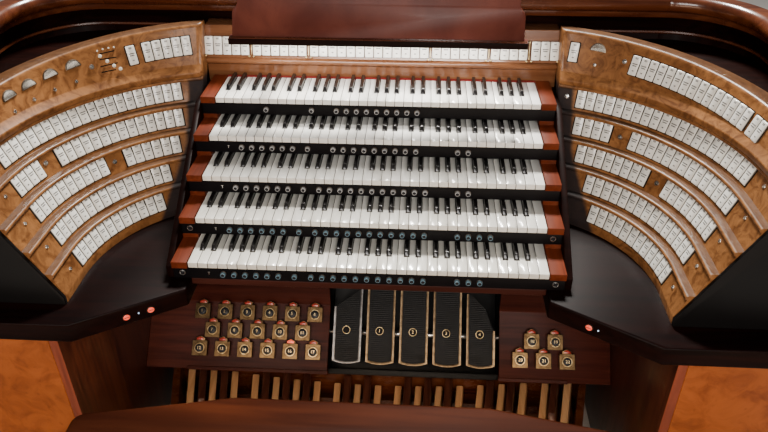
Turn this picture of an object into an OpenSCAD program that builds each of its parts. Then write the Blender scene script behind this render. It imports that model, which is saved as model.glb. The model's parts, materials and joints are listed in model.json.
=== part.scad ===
// Five-manual drawn-tablet pipe organ console with pedalboard and bench.
// Lengths are in millimetres. The part stands on z = 0 and is centred on x = 0 and y = 0.
// Inside the modules the datum is the front edge of the lowest keys, at the height of their tops.

/* [Keyboards] */
// Height of the lowest key tops above the floor
keys_z = 860; // [850:5:880]
// Distance that each keyboard stands behind the one below
setback = 97; // [92:1:102]
// Height of each keyboard above the one below
rise = 62; // [60:1:66]
// Pitch of the natural keys
natural_pitch = 23.5; // [23:0.1:24]
// Gap between two neighbouring keys
key_gap = 1; // [0.6:0.1:1.4]
// Length of a natural key
key_len = 147; // [140:1:150]
// Length of the wide front part of a natural key
head_len = 50; // [46:1:54]
// Depth of a natural key's body
key_h = 24; // [20:1:26]
// Depth of the lip at the front of a natural key
lip_h = 14; // [10:1:16]
// Width of a sharp key
sharp_w = 11; // [10:0.5:12]
// Height of a sharp key above the naturals
sharp_h = 12; // [10:0.5:13]
// Depth of a key frame below its key tops
frame_drop = 48; // [44:1:48]
// Thickness of the slip in front of the keys
slip_t = 12; // [8:1:16]
// Width of the block at each end of the keys
cheek_w = 38; // [34:1:44]
// Height of an end block above the key tops
cheek_rise = 3; // [1:0.5:6]
// Thickness of the stepped panel beside the keyboards
stringer_t = 16; // [12:1:20]

/* [Thumb pistons] */
// Pitch of the thumb pistons
piston_pitch = 26.4; // [25:0.2:28]
// Radius of a thumb piston
piston_r = 6; // [5:0.5:7]
// Length that a thumb piston stands proud
piston_out = 9; // [6:1:12]

/* [Stop jambs] */
// Distance from the middle plane to the centre of a jamb's curve
jamb_cx = 348; // [340:1:356]
// Radius of the lowest row of tablets
row_r = 334; // [330:1:340]
// Height of the lowest row's lower edge above the key datum
row_z = -22; // [-26:1:-20]
// Distance that each row stands behind the one below
row_back = 35.8; // [34:0.2:38]
// Height of each row above the one below
row_up = 59.6; // [58:0.2:62]
// Radius of the wood nosing above each row
nosing_r = 5.3; // [4:0.1:5.3]
// Depth of the slot that the tablets stand in
slot_deep = 8; // [5:1:10]
// Pitch of the stop tablets
tab_pitch = 24.8; // [24.4:0.1:25.4]
// Gap between two neighbouring tablets
tab_gap = 1.6; // [1:0.1:2.5]
// Length of a stop tablet
tab_l = 49; // [46:0.5:50]
// Thickness of a stop tablet
tab_t = 11; // [9:1:13]
// Length of a jamb beyond the centre of its curve
jamb_leg = 101; // [90:1:110]
// Fall of a jamb's top row towards the player, in degrees
top_fall = 4.5; // [3:0.5:5]
// Pitch of the narrower tablets in the right jamb's top row
top_right_pitch = 22.9; // [22.4:0.1:23.4]

/* [Coupler rail and music desk] */
// Gap in the row of coupler tablets at each divider
coupler_gap = 8; // [6:1:12]
// Half the width of the music desk at its foot
desk_half = 368; // [350:1:390]
// Height of the music desk along its slope
desk_h = 300; // [260:5:340]
// Thickness of the music desk
desk_t = 16; // [12:1:20]
// Lean of the music desk from upright, in degrees
desk_lean = 25; // [18:1:30]

/* [Case] */
// Gap between the back of each stop jamb and the case wall
jamb_clear = 40; // [30:1:60]
// Thickness of the case walls
wall_t = 22; // [18:1:25]
// Radius of the rounded back corners, outside
corner_r = 230; // [210:5:250]
// Height of the case walls above the key datum
case_top = 425; // [420:5:450]
// Height of the rounded top rail
rail_h = 45; // [40:1:50]
// Width of the rounded top rail
rail_w = 72; // [66:1:80]
// Distance that the top rail stands proud of the case
rail_over = 10; // [4:1:14]
// Height of the plinth around the case
plinth_h = 90; // [70:5:110]
// Distance that the plinth stands proud of the case
plinth_out = 12; // [6:1:16]
// Thickness of the key desk and its arms
slab_t = 50; // [44:1:56]
// Gap between the pedalboard and each knee wall
knee_clear = 15; // [12:1:30]
// Depth of the recess of each case panel
panel_deep = 7; // [4:1:10]

/* [Toe studs and swell shoes] */
// Pitch of the toe studs
stud_pitch = 69; // [66:1:72]
// Pitch of the swell shoes
shoe_pitch = 100; // [97:1:104]
// Width of a swell shoe
shoe_w = 86; // [80:1:90]
// Length of a swell shoe
shoe_l = 228; // [215:1:230]
// Thickness of a swell shoe's tread
shoe_t = 12; // [10:1:16]
// Radius of the shaft that carries the shoes
shaft_r = 8; // [6:0.5:10]
// Running clearance around the shaft
shaft_clear = 0.3; // [0.2:0.05:0.4]

/* [Pedalboard] */
// Height of the middle natural pedal above the floor
pedal_z = 111; // [105:1:120]
// Pitch of the natural pedals at the front of the sharps
pedal_pitch = 63.5; // [62:0.5:64]
// Radius of the fan and of the hollow of the pedalboard
pedal_radius = 2591; // [2500:10:2700]
// Width of a pedal
pedal_w = 22; // [20:0.5:24]
// Depth of a natural pedal's body
pedal_h = 40; // [34:1:44]
// Height of a sharp pedal above the naturals
pedal_sharp_h = 38; // [30:1:42]

/* [Bench] */
// Length of the bench
bench_l = 1280; // [1260:10:1300]
// Depth of the bench from front to back
bench_d = 350; // [320:10:380]
// Height of the bench above the floor
bench_z = 632; // [600:4:660]
// Thickness of the bench's seat
seat_t = 34; // [28:1:40]
// Thickness of a bench end
bench_end_t = 30; // [24:1:36]
// Distance that the middle of the seat's front edge stands proud of its ends
bench_bow = 70; // [50:5:80]

/* [Hidden] */
$fn = 96;
manuals = 5;
octave = 7;
naturals = 36;
eps = 0.01;
far = 3000;
floor_z = -keys_z;

// Places that follow from the driving dimensions
keys_half = naturals / 2 * natural_pitch;
cheek_in = keys_half + key_gap;
cheek_out = cheek_in + cheek_w;
stack_half = cheek_out + stringer_t;
slip_y = 3;
frame_back = key_len + 3;
desk_z = -frame_drop;
slab_z = desk_z - slab_t;
back_y = 640;
back_in_y = back_y - wall_t;
front_y = -165;
arm_front_y = -178;
notch_y = -40;
notch_half = 422;
arm_turn_x = 645;
upper_front_y = -112;
bench_front_y = -195;
bench_back_y = bench_front_y - bench_d;
shift_y = -(back_y + max(rail_over, plinth_out) + bench_back_y) / 2;

// Stop jamb section: a face that leans back and a nosing for each row
face_dr = 20;
face_dz = 49;
face_tilt = atan(face_dr / face_dz);
face_drop = 7;
foot_dr = face_drop * face_dr / face_dz;
rows = 5;
top_set_back = 162;
top_face_dr = 39;
top_face_dz = 116;
top_foot_r = row_r + top_set_back;
top_foot_z = row_z - face_drop + rows * row_up;
top_z = top_foot_z + top_face_dz;
top_tilt = atan(top_face_dr / top_face_dz);
jamb_back = 40;
jamb_back_r = top_foot_r + top_face_dr + jamb_back;
jamb_cy = 1;
row_1_z = 321;
fall_y = 442;
crown_z = top_z + 7;
case_half = jamb_cx + jamb_back_r + jamb_clear + wall_t;
case_in = case_half - wall_t;

// Height of a jamb's top, and of its top row on the leaning face, which both fall towards the player
function top_at(y) = crown_z + (y - fall_y) * tan(top_fall);
function top_r(z) = top_foot_r + (z - top_foot_z) * tan(top_tilt);
function fall_z(z, a) = (z + (jamb_cy - fall_y + cos(a) * top_r(0)) * tan(top_fall))
    / (1 - tan(top_tilt) * tan(top_fall) * cos(a));

// Swell shoes and toe board lie on planes at 45 degrees
toe_slope = 45;
toe_low_y = 215;
toe_low_z = -569;
toe_high_y = 361;
toe_t = 20;
kneeboard_t = 18;
case_face_y = toe_high_y + kneeboard_t;

// The kneeboard's lower edge clears the shoes' upper ends
shoe_low = 32;
shoe_high = shoe_low + shoe_l;
shoe_head = 20.3045;
kneeboard_low_z = toe_low_z + shoe_high * sqrt(2) - case_face_y + toe_low_y + shoe_head;
recess_in_x = -145;
recess_out_x = 371;
recess_mid_x = (recess_in_x + recess_out_x) / 2;
shoe_proud = 25;

// Pedalboard
pedal_heel_y = -337;
pedal_toe_y = 350;
pedal_sharp_y = 216;
pedal_cy = pedal_sharp_y - pedal_radius;
pedal_step = asin(pedal_pitch / pedal_radius);

frame_end_k = 9.5;
frame_back_y = pedal_toe_y + 6;
pedal_frame_t = 22;
frame_half = (frame_back_y + pedal_frame_t - pedal_cy) * tan(frame_end_k * pedal_step)
    + pedal_frame_t / cos(frame_end_k * pedal_step);
knee_half = frame_half + knee_clear;

// Moves children to the key datum
module at_keys() translate([0, shift_y, keys_z]) children();

// Copies children to the left and right
module both_sides() {
    children();
    mirror([1, 0, 0]) children();
}

// Box between two corners
module block(low, high) translate(low) cube(high - low);

// Outline in y and z, extruded from x0 to x1
module side_extrude(x0, x1) translate([x0, 0, 0]) rotate([90, 0, 90]) linear_extrude(x1 - x0) children();

// Outline in x and z, extruded from y1 back to y0
module front_extrude(y0, y1) translate([0, y1, 0]) rotate([90, 0, 0]) linear_extrude(y1 - y0) children();

// Keyboards
function has_sharp_right(j) = j < naturals - 1 && len(search(j % octave, [0, 1, 3, 4, 5])) > 0;
function has_sharp_left(j) = j > 0 && has_sharp_right(j - 1);
function sharp_shift(j) = [-2, 2, 0, -3, 0, 3, 0][j % octave];
function key_x(j) = -keys_half + j * natural_pitch;
function sharp_x(j) = key_x(j + 1) + sharp_shift(j);

module natural_outline(j) {
    left = has_sharp_left(j) ? sharp_x(j - 1) + sharp_w / 2 + key_gap : key_x(j) + key_gap / 2;
    right = has_sharp_right(j) ? sharp_x(j) - sharp_w / 2 - key_gap : key_x(j + 1) - key_gap / 2;
    translate([key_x(j) + key_gap / 2, 0]) square([natural_pitch - key_gap, head_len]);
    translate([left, head_len - eps]) square([right - left, key_len - head_len + eps]);
}

module natural_key(j) {
    translate([0, 0, -lip_h]) linear_extrude(lip_h) natural_outline(j);
    translate([0, 0, -key_h]) linear_extrude(key_h - lip_h + eps) intersection() {
        natural_outline(j);
        translate([-far / 2, slip_y + slip_t + key_gap]) square([far, key_len]);
    }
}

module sharp_key() intersection() {
    half = sharp_w / 2;
    front_extrude(head_len + key_gap, key_len)
        polygon([
            [-half, -key_h], [half, -key_h], [half, 0], [half - 1.2, sharp_h], [1.2 - half, sharp_h],
            [-half, 0]
        ]);
    side_extrude(-half, half) translate([head_len + key_gap, 0])
        polygon([
            [0, -key_h], [key_len, -key_h], [key_len, sharp_h], [8, sharp_h], [2, sharp_h / 3], [0, 0]
        ]);
}

module at_manual(i) at_keys() translate([0, i * setback, i * rise]) children();

module manual_naturals(i) color("ivory") at_manual(i) for (j = [0 : naturals - 1]) natural_key(j);

module manual_sharps(i) color("black") at_manual(i)
    for (j = [0 : naturals - 2]) if (has_sharp_right(j)) translate([sharp_x(j), 0, 0]) sharp_key();

module key_frame() {
    block([-cheek_out, slip_y, -frame_drop], [cheek_out, slip_y + slip_t, -lip_h - key_gap]);
    block([-cheek_out, slip_y + slip_t - eps, -frame_drop], [cheek_out, frame_back, -key_h]);
}

module key_frames() color("dimgray") for (i = [0 : manuals - 1]) at_manual(i) key_frame();

// End block, with a taller rear part that carries the keyboard above
module cheek(i) {
    front = slip_y - 7;
    block([cheek_in, front, -lip_h - key_gap], [cheek_out, frame_back, cheek_rise]);
    block([cheek_in, slip_y + slip_t, -key_h], [cheek_out, frame_back, cheek_rise]);
    if (i < manuals - 1)
        block([cheek_in, setback + slip_y, 0], [cheek_out, frame_back, rise - frame_drop]);
}

module key_cheeks() color("sienna") for (i = [0 : manuals - 1]) at_manual(i) both_sides() cheek(i);

// Sloped panel beside the keyboards, between the end blocks and the jambs
module key_stringers() color("maroon") at_keys() both_sides() side_extrude(cheek_out, stack_half) {
    last = manuals - 1;
    polygon([
        [slip_y, desk_z], [slip_y, -lip_h], [last * setback + slip_y, last * rise - lip_h],
        [last * setback + frame_back, last * rise - lip_h], [last * setback + frame_back, desk_z]
    ]);
}

// Thumb pistons
function centred(n) = [for (k = [0 : n - 1]) (k - (n - 1) / 2) * piston_pitch];
function run_of(x, n) = [for (k = [0 : n - 1]) x + k * piston_pitch];
left_start = -341.5;
left_run = run_of(left_start, 6);
right_start = 211.5;
PISTONS = [
    concat(left_run, [-171], centred(11), run_of(right_start, 3)),
    concat(left_run, [-171], centred(11), run_of(right_start, 4)),
    concat(left_run, [-171], centred(11), run_of(right_start, 2)),
    concat(left_run, [-171], centred(9), run_of(right_start, 2)),
    concat([-291, -171], centred(9))
];
piston_z = -31;

module piston() rotate([90, 0, 0]) {
    cylinder(h = piston_out, r = piston_r);
    cylinder(h = 2, r = piston_r + 1.5);
}

module thumb_pistons() color("lightgray") for (i = [0 : manuals - 1]) at_manual(i)
    for (x = PISTONS[i]) translate([x, slip_y, piston_z]) piston();

// Stop jambs
function foot(n) = [row_r - foot_dr + n * row_back, row_z - face_drop + n * row_up];
function head(n) = foot(n) + [face_dr, face_dz];
top_spare = 30;

module jamb_section() {
    polygon(concat(
        [[foot(0).x, desk_z]],
        [for (n = [0 : rows - 1]) each [foot(n), head(n), head(n) + [0, 2 * nosing_r]]],
        [[top_foot_r, top_foot_z], [top_r(top_z + top_spare), top_z + top_spare],
         [jamb_back_r, top_z + top_spare], [jamb_back_r, top_z - 60], [foot(0).x + jamb_back, desk_z]]
    ));
    for (n = [0 : rows - 1]) translate(head(n) + [0, nosing_r]) circle(nosing_r);
}

// Rows of tablets: start angle from straight back, then how many tablets stand before and after a gap
LEFT_ROWS = [[38.8, [12]], [32.5, [15]], [26.2, [6, 10]], [23.2, [14, 4]], [22.2, [21]]];
RIGHT_ROWS = [[38.2, [12]], [32.1, [15]], [25.6, [8, 8]], [22.3, [4, 14]], [21.2, [21]]];
group_gap = 2 * tab_pitch;
top_gap = 8;
row_1_r = top_r(row_1_z);

function row_radius(n) = row_r + n * row_back;
function per_tab(r, pitch = tab_pitch) = pitch / r * 180 / PI;

// Groups of the top row: start angle, how many tablets, and their pitch
LEFT_TOP = [[17.2, 5, tab_pitch], [32.8, 1, tab_pitch]];
right_pair = 34 + 15 * per_tab(row_1_r, top_right_pitch) + top_gap / row_1_r * 180 / PI;
RIGHT_TOP = [[16.5, 1, tab_pitch], [34, 15, top_right_pitch], [right_pair, 2, top_right_pitch]];

// Start and end angle of each group of a row
function groups(row, r, gap) = [
    [row[0], row[0] + row[1][0] * per_tab(r), row[1][0]],
    if (len(row[1]) > 1) let (a = row[0] + row[1][0] * per_tab(r) + gap / r * 180 / PI)
        [a, a + row[1][1] * per_tab(r), row[1][1]]
];

// Moves children to a place on a jamb: y points out of the curve, z up
module on_jamb(r, z, angle) translate([jamb_cx, jamb_cy, 0]) rotate([0, 0, -angle]) translate([0, r, z])
    children();

// Moves children to the leaning face of a jamb's top terrace, turned to follow its fall
module on_top(z, angle) {
    here = fall_z(z, angle);
    on_jamb(top_r(here), here, angle) rotate([-top_tilt, 0, 0])
        rotate([0, atan(tan(top_fall) * sin(angle)), 0]) children();
}

slot_end = 2;

// Slot for a group of tablets, cut into the face of a row
module tablet_slot(r, z, tilt, a0, a1) {
    margin = slot_end / 2 / r * 180 / PI;
    length = tab_l + slot_end;
    translate([jamb_cx, jamb_cy, 0]) rotate([0, 0, 90 - a1 - margin])
        rotate_extrude(angle = a1 - a0 + 2 * margin)
            translate([r, z]) rotate(-tilt) translate([-20, -slot_end / 2]) square([20 + slot_deep, length]);
}

module tablet(pitch = tab_pitch) {
    half = (pitch - tab_gap) / 2;
    seat = slot_deep - 0.5;
    translate([0, seat, 0]) side_extrude(-half, half)
        polygon([
            [0, 0], [1.5 - tab_t, 0], [-tab_t, 4], [-tab_t - 1, tab_l / 2], [-tab_t, tab_l - 4],
            [1.5 - tab_t, tab_l], [0, tab_l]
        ]);
}

module tablet_group(r, z, tilt, g) for (k = [0 : g[2] - 1])
    on_jamb(r, z, g[0] + (k + 0.5) * per_tab(r)) rotate([-tilt, 0, 0]) tablet();

// Angle of a tablet's middle in a group of the top row
function top_angle(g, k) = g[0] + (k + 0.5) * per_tab(row_1_r, g[2]);

module slots(rows_list, top_list) {
    for (n = [0 : rows - 1]) for (g = groups(rows_list[n], row_radius(n), group_gap))
        tablet_slot(row_radius(n), row_z + n * row_up, face_tilt, g[0], g[1]);
    for (g = top_list) for (k = [0 : g[1] - 1]) on_top(row_1_z, top_angle(g, k)) {
        half = (g[2] + slot_end) / 2;
        block([-half, -20, -slot_end / 2], [half, slot_deep, tab_l + slot_end / 2]);
    }
}

module tablets(rows_list, top_list) {
    for (n = [0 : rows - 1]) for (g = groups(rows_list[n], row_radius(n), group_gap))
        tablet_group(row_radius(n), row_z + n * row_up, face_tilt, g);
    for (g = top_list) for (k = [0 : g[1] - 1]) on_top(row_1_z, top_angle(g, k)) tablet(g[2]);
}

module jamb(rows_list, top_list) color("peru") at_keys() difference() {
    union() {
        translate([jamb_cx, jamb_cy, 0]) rotate_extrude(angle = 90) jamb_section();
        translate([jamb_cx, 0, 0]) front_extrude(jamb_cy - jamb_leg, jamb_cy + eps) jamb_section();
    }
    block([0, -far, -far], [stack_half, far, far]);
    translate([0, fall_y, crown_z]) rotate([top_fall, 0, 0]) block([-far, -far, 0], [far, far, far]);
    slots(rows_list, top_list);
}

module jamb_left() mirror([1, 0, 0]) jamb(LEFT_ROWS, LEFT_TOP);
module jamb_right() jamb(RIGHT_ROWS, RIGHT_TOP);

module stop_tablets_left() color("white") at_keys() mirror([1, 0, 0])
    tablets(LEFT_ROWS, LEFT_TOP);
module stop_tablets_right() color("white") at_keys() tablets(RIGHT_ROWS, RIGHT_TOP);

// Dark board that closes each jamb's front end
end_t = 10;
end_y = jamb_cy - jamb_leg - end_t;
end_z = top_at(end_y);

module jamb_ends() color("black") at_keys() both_sides() translate([jamb_cx, 0, 0])
    front_extrude(end_y, end_y + end_t)
        polygon([
            [foot(0).x, desk_z], [foot(0).x, foot(0).y], head(rows - 1), [top_r(end_z), end_z],
            [case_in - jamb_cx, end_z], [case_in - jamb_cx, desk_z]
        ]);

// Half-round windows of the swell position meters
meter_r = 19;
meter_t = 3;
meter_z = 355;
meter_proud = 0.6;
METERS_LEFT = [50.9, 57.8, 64.6, 71.1];
METERS_RIGHT = [24.4];

module meter() translate([0, -meter_proud, 0]) rotate([90, 0, 0]) intersection() {
    cylinder(h = meter_t, r = meter_r);
    translate([-meter_r, 0, 0]) cube([2 * meter_r, meter_r, meter_t]);
}

module swell_meters() color("beige") at_keys() {
    for (a = METERS_RIGHT) on_top(meter_z, a) meter();
    mirror([1, 0, 0]) for (a = METERS_LEFT) on_top(meter_z, a) meter();
}

// Coupler rail behind the highest keyboard
top_y = (manuals - 1) * setback;
top_key_z = (manuals - 1) * rise;
coupler_y = top_y + frame_back;
coupler_z = 309;
coupler_top_z = top_z;
COUPLERS = [5, 6, 13, 6, 4, 3];
function sum(v, n) = n == 0 ? 0 : v[n - 1] + sum(v, n - 1);
// The coupler tablets fill the rail from jamb to jamb
coupler_span = 2 * stack_half + tab_gap;
coupler_pitch = (coupler_span - (len(COUPLERS) - 1) * coupler_gap) / sum(COUPLERS, len(COUPLERS));

rail_t = 18;
rail_run = 22;
rail_foot = 8;
bead_r = 9;
bead_z = coupler_z - rail_foot - bead_r;

module coupler_rail() color("saddlebrown") at_keys() side_extrude(-stack_half, stack_half) polygon(concat(
    [[coupler_y, top_key_z - frame_drop]],
    [for (a = [-90 : 15 : 90]) [coupler_y - bead_r * cos(a), bead_z + bead_r * sin(a)]],
    [[coupler_y + rail_run, coupler_top_z], [back_in_y, coupler_top_z], [back_in_y, coupler_top_z - rail_t],
     [coupler_y + rail_run + rail_t, coupler_top_z - rail_t], [coupler_y + rail_t, top_key_z - frame_drop]]
));

module coupler_tablets() color("white") at_keys() {
    lean = atan(rail_run / (coupler_top_z - coupler_z + rail_foot));
    for (g = [0 : len(COUPLERS) - 1]) for (k = [0 : COUPLERS[g] - 1]) {
        x = -coupler_span / 2 + (sum(COUPLERS, g) + k + 0.5) * coupler_pitch + g * coupler_gap;
        translate([x, coupler_y + rail_foot * tan(lean), coupler_z]) rotate([-lean, 0, 0])
            translate([0, -slot_deep, 0]) tablet(coupler_pitch);
    }
}

// Board between each jamb's top and the case walls
deck_t = 18;

module deck_outline() difference() {
    translate([stack_half, jamb_cy - jamb_leg])
        square([case_in - stack_half, back_in_y - jamb_cy + jamb_leg]);
    translate([jamb_cx, jamb_cy]) circle(jamb_back_r + 0.3);
    translate([0, -far + jamb_cy]) square([jamb_cx + jamb_back_r + 0.3, far]);
    corner_waste();
}

// What lies outside the rounded corner of the case's inner face
module corner_waste() difference() {
    translate([case_half - corner_r, back_y - corner_r]) square(far);
    translate([case_half - corner_r, back_y - corner_r]) circle(corner_r - wall_t);
}

module upper_deck() color("maroon") at_keys() both_sides()
    translate([0, 0, end_z - 3 - deck_t]) linear_extrude(deck_t) deck_outline();

// Music desk: leaning panel with a ledge at its foot
ledge_y = 408;
ledge_t = 16;
ledge_z = top_z + ledge_t;
ledge_d = 34;
ledge_over = 8;
ogee_z = ledge_z + 54;
ogee_h = 22;
ogee_in = 13;
desk_top_z = ledge_z + desk_h * cos(desk_lean);
desk_ear = 34;

module desk_section() {
    y = ledge_y + ledge_d;
    up = desk_h * cos(desk_lean);
    polygon([
        [y, ledge_z - eps], [y - desk_t / cos(desk_lean), ledge_z - eps],
        [y + (up * sin(desk_lean) - desk_t) / cos(desk_lean), ledge_z + up],
        [y + up * tan(desk_lean), ledge_z + up]
    ]);
}

// Right half of the desk's outline: an ogee above the foot and a hollow corner at the top
function desk_side() = concat(
    [[desk_half, ledge_z - 1]],
    [for (t = [0 : 0.125 : 1]) [desk_half - ogee_in * (1 - cos(t * 180)) / 2, ogee_z + ogee_h * t]],
    [for (a = [-90 : -15 : -180]) [desk_half - ogee_in, desk_top_z] + desk_ear * [cos(a), sin(a)]]
);

module desk_outline() polygon(concat(
    desk_side(),
    [for (k = [len(desk_side()) - 1 : -1 : 0]) [-desk_side()[k].x, desk_side()[k].y]]
));

module music_desk() color("maroon") at_keys() {
    intersection() {
        side_extrude(-desk_half, desk_half) desk_section();
        front_extrude(ledge_y - far, ledge_y + far) desk_outline();
    }
    block([-desk_half - ledge_over, ledge_y, ledge_z - ledge_t],
        [desk_half + ledge_over, ledge_y + ledge_d, ledge_z]);
}

bracket_half = 12;
bracket_h = 170;
bracket_gap = 0.3;
BRACKETS = [-260, 0, 260];

module desk_brackets() color("saddlebrown") at_keys() for (x = BRACKETS) {
    y = ledge_y + ledge_d + bracket_gap;
    side_extrude(x - bracket_half, x + bracket_half) polygon([
        [y, ledge_z - ledge_t], [back_in_y, ledge_z - ledge_t], [back_in_y, ledge_z],
        [coupler_y + 22, ledge_z], [y + bracket_h * tan(desk_lean), ledge_z + bracket_h], [y, ledge_z]
    ]);
}

// Case walls in plan, with an outward offset for the plinth
module side_plan(y0, out) {
    translate([case_in, y0]) square([wall_t + out, back_y - corner_r - y0]);
    translate([case_half - corner_r, back_y - corner_r]) intersection() {
        difference() {
            circle(corner_r + out);
            circle(corner_r - wall_t);
        }
        square(far);
    }
}

module case_side() difference() {
    union() {
        translate([0, 0, floor_z]) linear_extrude(slab_z - floor_z) side_plan(front_y, 0);
        translate([0, 0, slab_z - eps]) linear_extrude(case_top - slab_z + eps) side_plan(upper_front_y, 0);
        translate([0, 0, floor_z]) linear_extrude(plinth_h) side_plan(front_y - plinth_out, plinth_out);
    }
    field_back = back_y - corner_r - 50;
    block([case_half - panel_deep, front_y + 60, floor_z + plinth_h + 70], [far, field_back, slab_z - 60]);
    block([case_half - panel_deep, upper_front_y + 60, desk_z + 60], [far, field_back, case_top - 70]);
}

module case_side_right() color("maroon") at_keys() case_side();
module case_side_left() color("maroon") at_keys() mirror([1, 0, 0]) case_side();

back_stile = 60;
back_rail = 80;

module case_back() color("maroon") at_keys() difference() {
    half = case_half - corner_r;
    field = half * 2 / 3;
    union() {
        block([-half, back_in_y, floor_z], [half, back_y, case_top]);
        block([-half, back_in_y, floor_z], [half, back_y + plinth_out, floor_z + plinth_h]);
    }
    for (k = [-1 : 1])
        block([(k - 0.5) * field + back_stile, back_y - panel_deep, floor_z + plinth_h + back_rail],
            [(k + 0.5) * field - back_stile, back_y + far, case_top - back_rail]);
}

// Rounded top rail
module rail_section() {
    r = rail_h / 2;
    translate([-rail_w / 2 + r, 0]) square([rail_w - rail_h, rail_h]);
    for (s = [-1, 1]) translate([s * (rail_w / 2 - r), r]) circle(r);
}

rail_path = case_half + rail_over - rail_w / 2;
rail_back_path = back_y + rail_over - rail_w / 2;
rail_turn = corner_r + rail_over - rail_w / 2;

module top_rail_back() color("brown") at_keys()
    translate([0, rail_back_path, case_top]) rotate([0, 0, 90])
        front_extrude(rail_turn - rail_path, rail_path - rail_turn) rail_section();

module top_rail_side() translate([0, 0, case_top]) {
    translate([rail_path, 0, 0])
        front_extrude(upper_front_y, rail_back_path - rail_turn + eps) rail_section();
    translate([rail_path - rail_turn, rail_back_path - rail_turn, 0]) rotate_extrude(angle = 90)
        translate([rail_turn, 0]) rail_section();
}

module top_rail_right() color("brown") at_keys() top_rail_side();
module top_rail_left() color("brown") at_keys() mirror([1, 0, 0]) top_rail_side();

// Lower case
front_panel_t = 22;
front_rail = 60;
front_stile = 50;
front_edge_stile = 45;

module front_panel() difference() {
    union() {
        block([knee_half + wall_t, front_y, floor_z], [case_in, front_y + front_panel_t, slab_z]);
        block([knee_half + wall_t, front_y - plinth_out, floor_z],
            [case_in, front_y + front_panel_t, floor_z + plinth_h]);
    }
    block([knee_half + wall_t + front_stile, front_y - eps, floor_z + plinth_h + front_rail],
        [case_in - front_edge_stile, front_y + panel_deep, slab_z - front_rail]);
}

module front_panel_right() color("darkorange") at_keys() front_panel();
module front_panel_left() color("darkorange") at_keys() mirror([1, 0, 0]) front_panel();

knee_post_y = 60;
knee_step = 10;

module knee_wall() {
    block([knee_half, front_y, floor_z], [knee_half + wall_t, knee_post_y, slab_z]);
    block([knee_half + knee_step, knee_post_y - eps, floor_z], [knee_half + wall_t, back_in_y, slab_z]);
}

module knee_wall_right() color("maroon") at_keys() knee_wall();
module knee_wall_left() color("maroon") at_keys() mirror([1, 0, 0]) knee_wall();

knee_in = knee_half + knee_step;

module kneeboard() color("maroon") at_keys()
    block([-knee_in, toe_high_y, kneeboard_low_z], [knee_in, toe_high_y + kneeboard_t, slab_z]);

// Toe board: a riser and a slope, left and right of the shoes
module toe_board_outline() {
    run = toe_high_y - toe_low_y;
    drop = toe_t * sqrt(2);
    polygon([
        [toe_low_y, toe_low_z], [toe_high_y, toe_low_z + run], [toe_high_y, kneeboard_low_z],
        [toe_high_y + kneeboard_t, kneeboard_low_z],
        [toe_high_y + kneeboard_t, toe_low_z + run + kneeboard_t - drop],
        [toe_low_y + toe_t / sqrt(2), toe_low_z - toe_t / sqrt(2)]
    ]);
}

module toe_board() color("maroon") at_keys() {
    side_extrude(-knee_in, recess_in_x) toe_board_outline();
    side_extrude(recess_out_x, knee_in) toe_board_outline();
}

// Recess that holds the shoes, behind the toe board
recess_t = 18;
recess_deep = 110;
recess_lip = 30;
recess_back = recess_deep + recess_t;
recess_top = (case_face_y - toe_low_y + kneeboard_low_z - toe_low_z) / sqrt(2);

// Moves children to the toe slope: y up the slope, z out of it, with the origin at its lower edge
module on_slope() translate([0, toe_low_y, toe_low_z]) rotate([toe_slope, 0, 0]) children();

// Point in y and z at a distance up the slope and a distance out of it
function slope_point(up, out) = [toe_low_y + (up - out) / sqrt(2), toe_low_z + (up + out) / sqrt(2)];

// Point on the kneeboard's back face at a distance up the slope
function face_point(up) = slope_point(up, up - (case_face_y - toe_low_y) * sqrt(2));

module shoe_recess_back() color("black") at_keys() side_extrude(recess_in_x, recess_out_x) polygon([
    slope_point(0, -recess_lip), slope_point(0, -recess_back),
    slope_point(recess_top + recess_t, -recess_back), face_point(recess_top + recess_t),
    face_point(recess_top), slope_point(recess_top, -recess_deep),
    slope_point(recess_t, -recess_deep), slope_point(recess_t, -recess_lip)
]);

module recess_side(x) side_extrude(x, x + recess_t) polygon([
    slope_point(0, -toe_t), slope_point(0, -recess_back), slope_point(recess_top + recess_t, -recess_back),
    face_point(recess_top + recess_t), face_point((case_face_y - toe_low_y) * sqrt(2) - toe_t)
]);

module shoe_recess_sides() color("black") at_keys() {
    recess_side(recess_in_x - recess_t);
    recess_side(recess_out_x);
}

// Swell shoes
shoe_arch = 8;
shoe_arch_r = (shoe_w * shoe_w / 4 + shoe_arch * shoe_arch) / (2 * shoe_arch);
shaft_up = shoe_low + 0.42 * shoe_l;
shaft_in = shoe_proud - 45;
hub_w = 40;
hub_r = 18;
SHOES = 5;
function shoe_x(k) = recess_mid_x + (k - (SHOES + 1) / 2) * shoe_pitch;

// Outline of a tread: an arched heel, and a cut corner on the outermost shoes
module shoe_outline(k) intersection() {
    half = shoe_w / 2;
    translate([-half, shoe_low]) square([shoe_w, shoe_l]);
    union() {
        translate([0, shoe_low + shoe_arch_r]) circle(shoe_arch_r);
        translate([-half, shoe_low + shoe_arch_r]) square([shoe_w, shoe_l]);
    }
    if (k == 1) polygon([[-half, 0], [half, 0], [half, shoe_high - 2], [-half, shoe_high - 59]]);
    if (k > 1 && k < SHOES) translate([-half, 0]) square([shoe_w, shoe_high]);
    if (k == SHOES) polygon([
        [-half, 0], [half, 0], [half, shoe_high - 115], [half - 9.5, shoe_high - 98],
        [half - 25, shoe_high - 54], [-half + 22, shoe_high - 19], [-half, shoe_high - 8]
    ]);
}

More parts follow.
